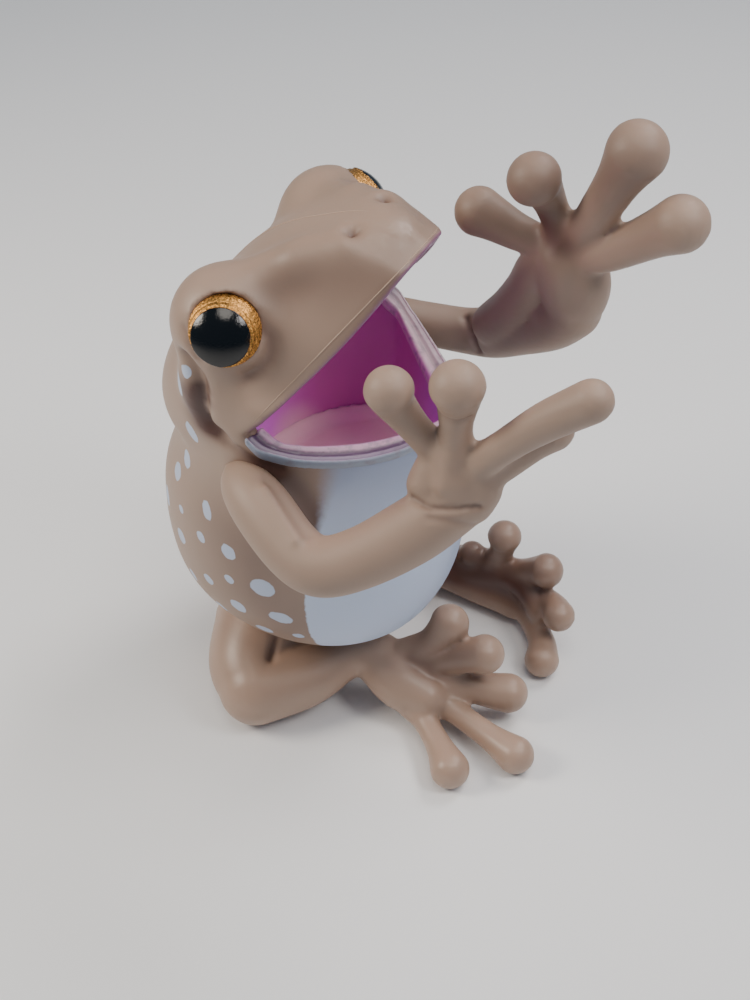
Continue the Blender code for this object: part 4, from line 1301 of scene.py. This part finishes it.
def under_lip(points):
    """How far each point lies under the edge of the upper lip, from 0 to 1."""
    run = np.array(head_point(1, 0) - head_point(0, 0))
    square = np.array(head_point(0, 1) - head_point(0, 0))
    ahead = (points - np.array(head_point(0, 0))) @ run
    over = (points - np.array(head_point(0, 0))) @ square
    over += LIP_SAG * np.sin(np.pi * np.clip(ahead / JAW_LENGTH, 0, 1))
    near = (over > -LIP_REACH) * np.clip(ahead - 0.6, 0, 1)
    return near * np.clip((LIP_EDGE - over) / LIP_FADE, 0, 1)


def rim_height(y):
    """How high the jaw's rim stands at a place from back to front."""
    rows = smooth_rows(RIM, 5)
    return float(np.interp(-y, -rows[:, 0], rows[:, 1]))


def rim_point(skin, out, from_outside):
    """Where the rim's outer or inner edge lies in a level direction from the mouth's middle."""
    y = -12.0
    for _ in range(4):
        start = Vector((*LIP_CENTRE, rim_height(y) - 0.35))
        if from_outside:
            spot, _ = onto(skin, start + out * WELL_OUT, -out)
        else:
            spot, _ = onto(skin, start, out)
        y = spot.y
    return Vector((spot.x, spot.y, rim_height(y)))


def build_lip(skin):
    """The jaw's rim as a strip with a flash line outside, a groove and a raised inner edge."""
    profile = smooth_rows(LIP_PROFILE, 4)
    rings = []
    for turn in np.linspace(math.radians(-LIP_TURN), math.radians(LIP_TURN), 241):
        out = Vector((math.sin(turn), -math.cos(turn), 0))
        outer = rim_point(skin, out, True)
        inner = rim_point(skin, out, False) - out * LIP_INSIDE
        rings.append([outer.lerp(inner, share) + Vector((0, 0, rise)) for share, rise in profile])
    lip = loft("moulded_lip", rings)
    mark(lip, "across", np.tile(profile[:, 0] + np.where(profile[:, 1] < -0.3, -0.4, 0.0), len(rings)))
    return lip


def shell_of_mouth():
    """The painted lining that covers the walls and roof of the mouth."""
    lining = scoop("mouth_lining_skin", -0.15)
    inner = scoop("inner", 0.35)
    wedge = gape(0.2)
    combine(lining, inner)
    combine(lining, wedge)
    drop(inner, wedge)
    return lining


def mouth_floor():
    """The soft floor of the mouth, which runs up into the walls."""
    floor = scoop("mouth_floor_skin", 0.2)
    slope = Vector((0, SCOOP_BACK - SCOOP_FRONT + 8, FLOOR_BACK - FLOOR_FRONT)).normalized()
    up = Vector((0, -slope.z, slope.y))
    start = Vector((0, SCOOP_FRONT - 4, FLOOR_FRONT))
    end = Vector((0, SCOOP_BACK + 4, FLOOR_BACK))
    corners = [start - up * 6, end - up * 6, end + up * FLOOR_RISE, start + up * FLOOR_RISE]
    layer = prism("layer", [(corner.y, corner.z) for corner in corners], 30)
    combine(floor, layer, "INTERSECT")
    drop(layer)
    remesh(floor, *FLOOR_MELT)
    walls = scoop("walls", 0.2)
    tree = surface_of(walls)
    points = spots_of(floor)
    normals = normals_of(floor)
    away = np.array([tree.find_nearest((Vector(point) + AWAY) * MM)[3] / MM for point in points])
    drop(walls)
    top = np.clip((normals @ np.array(up) - 0.3) / 0.4, 0, 1)
    points += np.array(up) * (top * FILLET_RISE * np.exp(-(away / FILLET_WIDE) ** 2))[:, None]
    put_spots(floor, points)
    mark(floor, "edge", top * np.exp(-(away / 0.9) ** 2) + (1 - top))
    return floor


def eyeball(side):
    """An eye as a dome that fills its opening, with a stepped ring and a raised pupil."""
    centre = eye_middle(side)
    look = mirrored(PUPIL_LOOK)[side].normalized()
    opening = mirrored(OPENING_LOOK)[side].normalized()
    bm = bmesh.new()
    turned = Matrix.Translation(centre) @ look.to_track_quat("Z", "Y").to_matrix().to_4x4()
    radius = EYE_RADIUS - EYE_UNDER
    bmesh.ops.create_uvsphere(bm, u_segments=160, v_segments=200, radius=radius, matrix=turned)
    whole = bm.verts[:] + bm.edges[:] + bm.faces[:]
    cut = bmesh.ops.bisect_plane(bm, geom=whole, plane_co=centre + opening * (OPENING_DEPTH + 0.05),
                                 plane_no=-opening, clear_outer=True)
    edges = [item for item in cut["geom_cut"] if isinstance(item, bmesh.types.BMEdge)]
    bmesh.ops.holes_fill(bm, edges=edges, sides=0)
    eye = new_object("painted_eye_" + side, bm)
    points = spots_of(eye)
    out = (points - np.array(centre)) / radius
    away = np.linalg.norm(points - np.array(centre + look * radius), axis=1)
    rise = PUPIL_RISE * np.clip((PUPIL_REACH + 0.02 - away) / 0.12, 0, 1)
    rise -= GROOVE_DEPTH * np.exp(-((away - PUPIL_REACH - 0.1) / 0.08) ** 2)
    rise -= GROOVE_DEPTH * np.exp(-((away - RING_STEP) / 0.1) ** 2)
    rise -= RING_DROP * np.clip((away - RING_STEP) / 0.1, 0, 1)
    points = points + out * rise[:, None] - np.array(centre)
    along = (points @ np.array(opening))[:, None] * np.array(opening)
    reach = np.linalg.norm(points - along, axis=1)
    squeeze = np.minimum(1, EYE_FIT / np.maximum(reach, 1e-6))[:, None]
    put_spots(eye, np.array(centre) + along + (points - along) * squeeze)
    return eye


def build_limb(name, fan, runs, digits, folds, stands=False):
    """An arm or a leg melted from its runs and its digits, folded, given its painted shade, and cut flat
    where it stands.
    """
    forms = [limb("run", run) for run in runs]
    forms += [limb("digit", (fan,) + digit) for digit in digits]
    whole = fuse(name, forms, *LIMB_MELT)
    sculpt(whole, folds)
    if stands:
        ground = prism("ground", ((-60, -20), (60, -20), (60, 0), (-60, 0)), 50)
        combine(whole, ground)
        drop(ground)
    shade_folds(whole, folds)
    return whole


def nodes_of(side, *words):
    """The frame's nodes of one side whose names hold one of some words."""
    return [node for node in FRAME_NODES if "_" + side in node and node.startswith(words)]


class ToyFrogBody(bpy.types.Operator):
    """Build the moulded body with its head, jaw, folds, white belly and painted spots"""

    bl_idname = "toy_frog.body"
    bl_label = "Body"

    def execute(self, context):
        sizes = context.scene.toy_frog_sizes
        body = build_body(sizes)
        dots = dot_places(surface_of(body), sizes.spot_scale)
        skin = body_paint(context.scene.toy_frog_paints, dots)
        finish_piece(body, skin, ("head", "lower_jaw", "torso"))
        return {"FINISHED"}


class ToyFrogMouth(bpy.types.Operator):
    """Build the painted lining and the soft floor of the mouth"""

    bl_idname = "toy_frog.mouth"
    bl_label = "Mouth"

    def execute(self, context):
        paints = context.scene.toy_frog_paints
        finish_piece(shell_of_mouth(), mouth_paint(paints), ("palate", "mouth_lining"))
        finish_piece(mouth_floor(), floor_paint(paints), ("tongue",))
        return {"FINISHED"}


class ToyFrogLip(bpy.types.Operator):
    """Build the lower jaw's rim with its groove and painted bands"""

    bl_idname = "toy_frog.lip"
    bl_label = "Lip"

    def execute(self, context):
        lip = build_lip(surface_of(bpy.data.objects["moulded_body"]))
        finish_piece(lip, lip_paint(context.scene.toy_frog_paints), ())
        return {"FINISHED"}


class ToyFrogEyes(bpy.types.Operator):
    """Build both eyes with a gold ring and a domed black pupil"""

    bl_idname = "toy_frog.eyes"
    bl_label = "Eyes"

    def execute(self, context):
        for side in ("right", "left"):
            enamel = eye_paint(side, context.scene.toy_frog_paints)
            finish_piece(eyeball(side), enamel, ("eye_" + side,))
        return {"FINISHED"}


class ToyFrogArms(bpy.types.Operator):
    """Build both arms with their hands, fingers and wrist creases"""

    bl_idname = "toy_frog.arms"
    bl_label = "Arms"

    def execute(self, context):
        material = soft_pvc("moulded_pvc_arm", context.scene.toy_frog_paints.skin, 0.54)
        for side, (runs, fingers, folds) in ARMS.items():
            arm = build_limb("moulded_arm_" + side, FANS[side + "_hand"], runs, fingers, folds)
            finish_piece(arm, material, nodes_of(side, "upper_arm", "forearm", "hand", "finger"))
        return {"FINISHED"}


class ToyFrogLegs(bpy.types.Operator):
    """Build both folded legs with their feet and toes"""

    bl_idname = "toy_frog.legs"
    bl_label = "Legs"

    def execute(self, context):
        material = soft_pvc("moulded_pvc_leg", context.scene.toy_frog_paints.limb, 0.4)
        for side, (runs, toes, folds) in LEGS.items():
            leg = build_limb("moulded_leg_" + side, FANS[side + "_foot"], runs, toes, folds, True)
            finish_piece(leg, material, nodes_of(side, "thigh", "shin", "foot", "toe"))
        return {"FINISHED"}


class ToyFrogMouldLines(bpy.types.Operator):
    """Lay the mould's parting lines on the head and the upper lip"""

    bl_idname = "toy_frog.mould_lines"
    bl_label = "Mould lines"

    def execute(self, context):
        skin = surface_of(bpy.data.objects["moulded_body"])
        flash = soft_pvc("pvc_mould_flash", tinted(context.scene.toy_frog_paints.skin, 1.2), 0.45)
        tree = seam_nodes(flash)
        radius = context.scene.toy_frog_sizes.seam_radius
        for name, points in mould_lines(skin).items():
            line = flow_line(name, points)
            maker = line.modifiers.new("bead", "NODES")
            maker.node_group = tree
            maker[tree.interface.items_tree["Radius"].identifier] = radius
            settle(line)
            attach(line, "root")
        return {"FINISHED"}


class ToyFrogStage(bpy.types.Operator):
    """Set the pale floor, the soft studio light and the camera of the photograph"""

    bl_idname = "toy_frog.stage"
    bl_label = "Stage"

    def execute(self, context):
        mesh = bpy.data.meshes.new("floor")
        corners = [(x * FLOOR_HALF, y * FLOOR_HALF, 0) for x, y in ((-1, -1), (1, -1), (1, 1), (-1, 1))]
        mesh.from_pydata(corners, [], [(0, 1, 2, 3)])
        floor = bpy.data.objects.new("floor", mesh)
        context.scene.collection.objects.link(floor)
        pale = bpy.data.materials.new("matt_white_card")
        pale.use_nodes = True
        pale.node_tree.nodes["Principled BSDF"].inputs["Base Color"].default_value = (*FLOOR_CARD, 1)
        pale.node_tree.nodes["Principled BSDF"].inputs["Roughness"].default_value = 0.9
        mesh.materials.append(pale)
        world = bpy.data.worlds.new("studio")
        world.use_nodes = True
        world.node_tree.nodes["Background"].inputs["Color"].default_value = (*SKY, 1)
        world.node_tree.nodes["Background"].inputs["Strength"].default_value = SKY_STRENGTH
        context.scene.world = world
        for name, place, size, power, colour in LIGHTS:
            lamp = bpy.data.lights.new(name, "AREA")
            lamp.energy = power
            lamp.shape = "DISK"
            lamp.size = size * MM
            lamp.color = colour
            light = bpy.data.objects.new(name, lamp)
            context.scene.collection.objects.link(light)
            light.location = (Vector(place) + AWAY) * MM
            aim = Vector(place) - Vector(LIGHT_AIM)
            light.rotation_euler = aim.to_track_quat("Z", "Y").to_euler()
        lens = bpy.data.cameras.new("camera")
        lens.sensor_width = FILM
        lens.lens = FOCAL_PIXELS / PHOTO_HEIGHT * FILM
        lens.clip_start = 0.005
        camera = bpy.data.objects.new("camera", lens)
        context.scene.collection.objects.link(camera)
        right = Vector(CAMERA_RIGHT).normalized()
        back = Vector(CAMERA_BACK).normalized()
        up = back.cross(right).normalized()
        camera.matrix_world = (Matrix.Translation((Vector(CAMERA_PLACE) + AWAY) * MM)
                               @ Matrix((right, up, back)).transposed().to_4x4())
        context.scene.camera = camera
        return {"FINISHED"}


class TOYFROG_PT_panel(bpy.types.Panel):
    """Sizes, colours and pieces of the toy frog"""

    bl_idname = "TOYFROG_PT_panel"
    bl_label = "Toy Frog"
    bl_space_type = "VIEW_3D"
    bl_region_type = "UI"
    bl_category = "Toy Frog"

    def draw(self, context):
        for group in (context.scene.toy_frog_sizes, context.scene.toy_frog_paints):
            for name in group.__annotations__:
                self.layout.prop(group, name)
        for maker in PIECE_MAKERS:
            self.layout.operator(maker.bl_idname)


PIECE_MAKERS = (ToyFrogBody, ToyFrogMouth, ToyFrogLip, ToyFrogEyes, ToyFrogArms, ToyFrogLegs,
                 ToyFrogMouldLines, ToyFrogStage)
CLASSES = (ToyFrogSizes, ToyFrogPaints) + PIECE_MAKERS + (TOYFROG_PT_panel,)


def register():
    """Register the classes and hang the sizes and colours on the scene."""
    for made in CLASSES:
        bpy.utils.register_class(made)
    bpy.types.Scene.toy_frog_sizes = PointerProperty(type=ToyFrogSizes)
    bpy.types.Scene.toy_frog_paints = PointerProperty(type=ToyFrogPaints)


def unregister():
    """Take back what register did."""
    del bpy.types.Scene.toy_frog_paints
    del bpy.types.Scene.toy_frog_sizes
    for made in reversed(CLASSES):
        bpy.utils.unregister_class(made)


def main():
    """Build the toy piece by piece."""
    register()
    bpy.ops.toy_frog.body()
    bpy.ops.toy_frog.mouth()
    bpy.ops.toy_frog.lip()
    bpy.ops.toy_frog.eyes()
    bpy.ops.toy_frog.arms()
    bpy.ops.toy_frog.legs()
    bpy.ops.toy_frog.mould_lines()
    bpy.ops.toy_frog.stage()


if __name__ == "__main__":
    main()
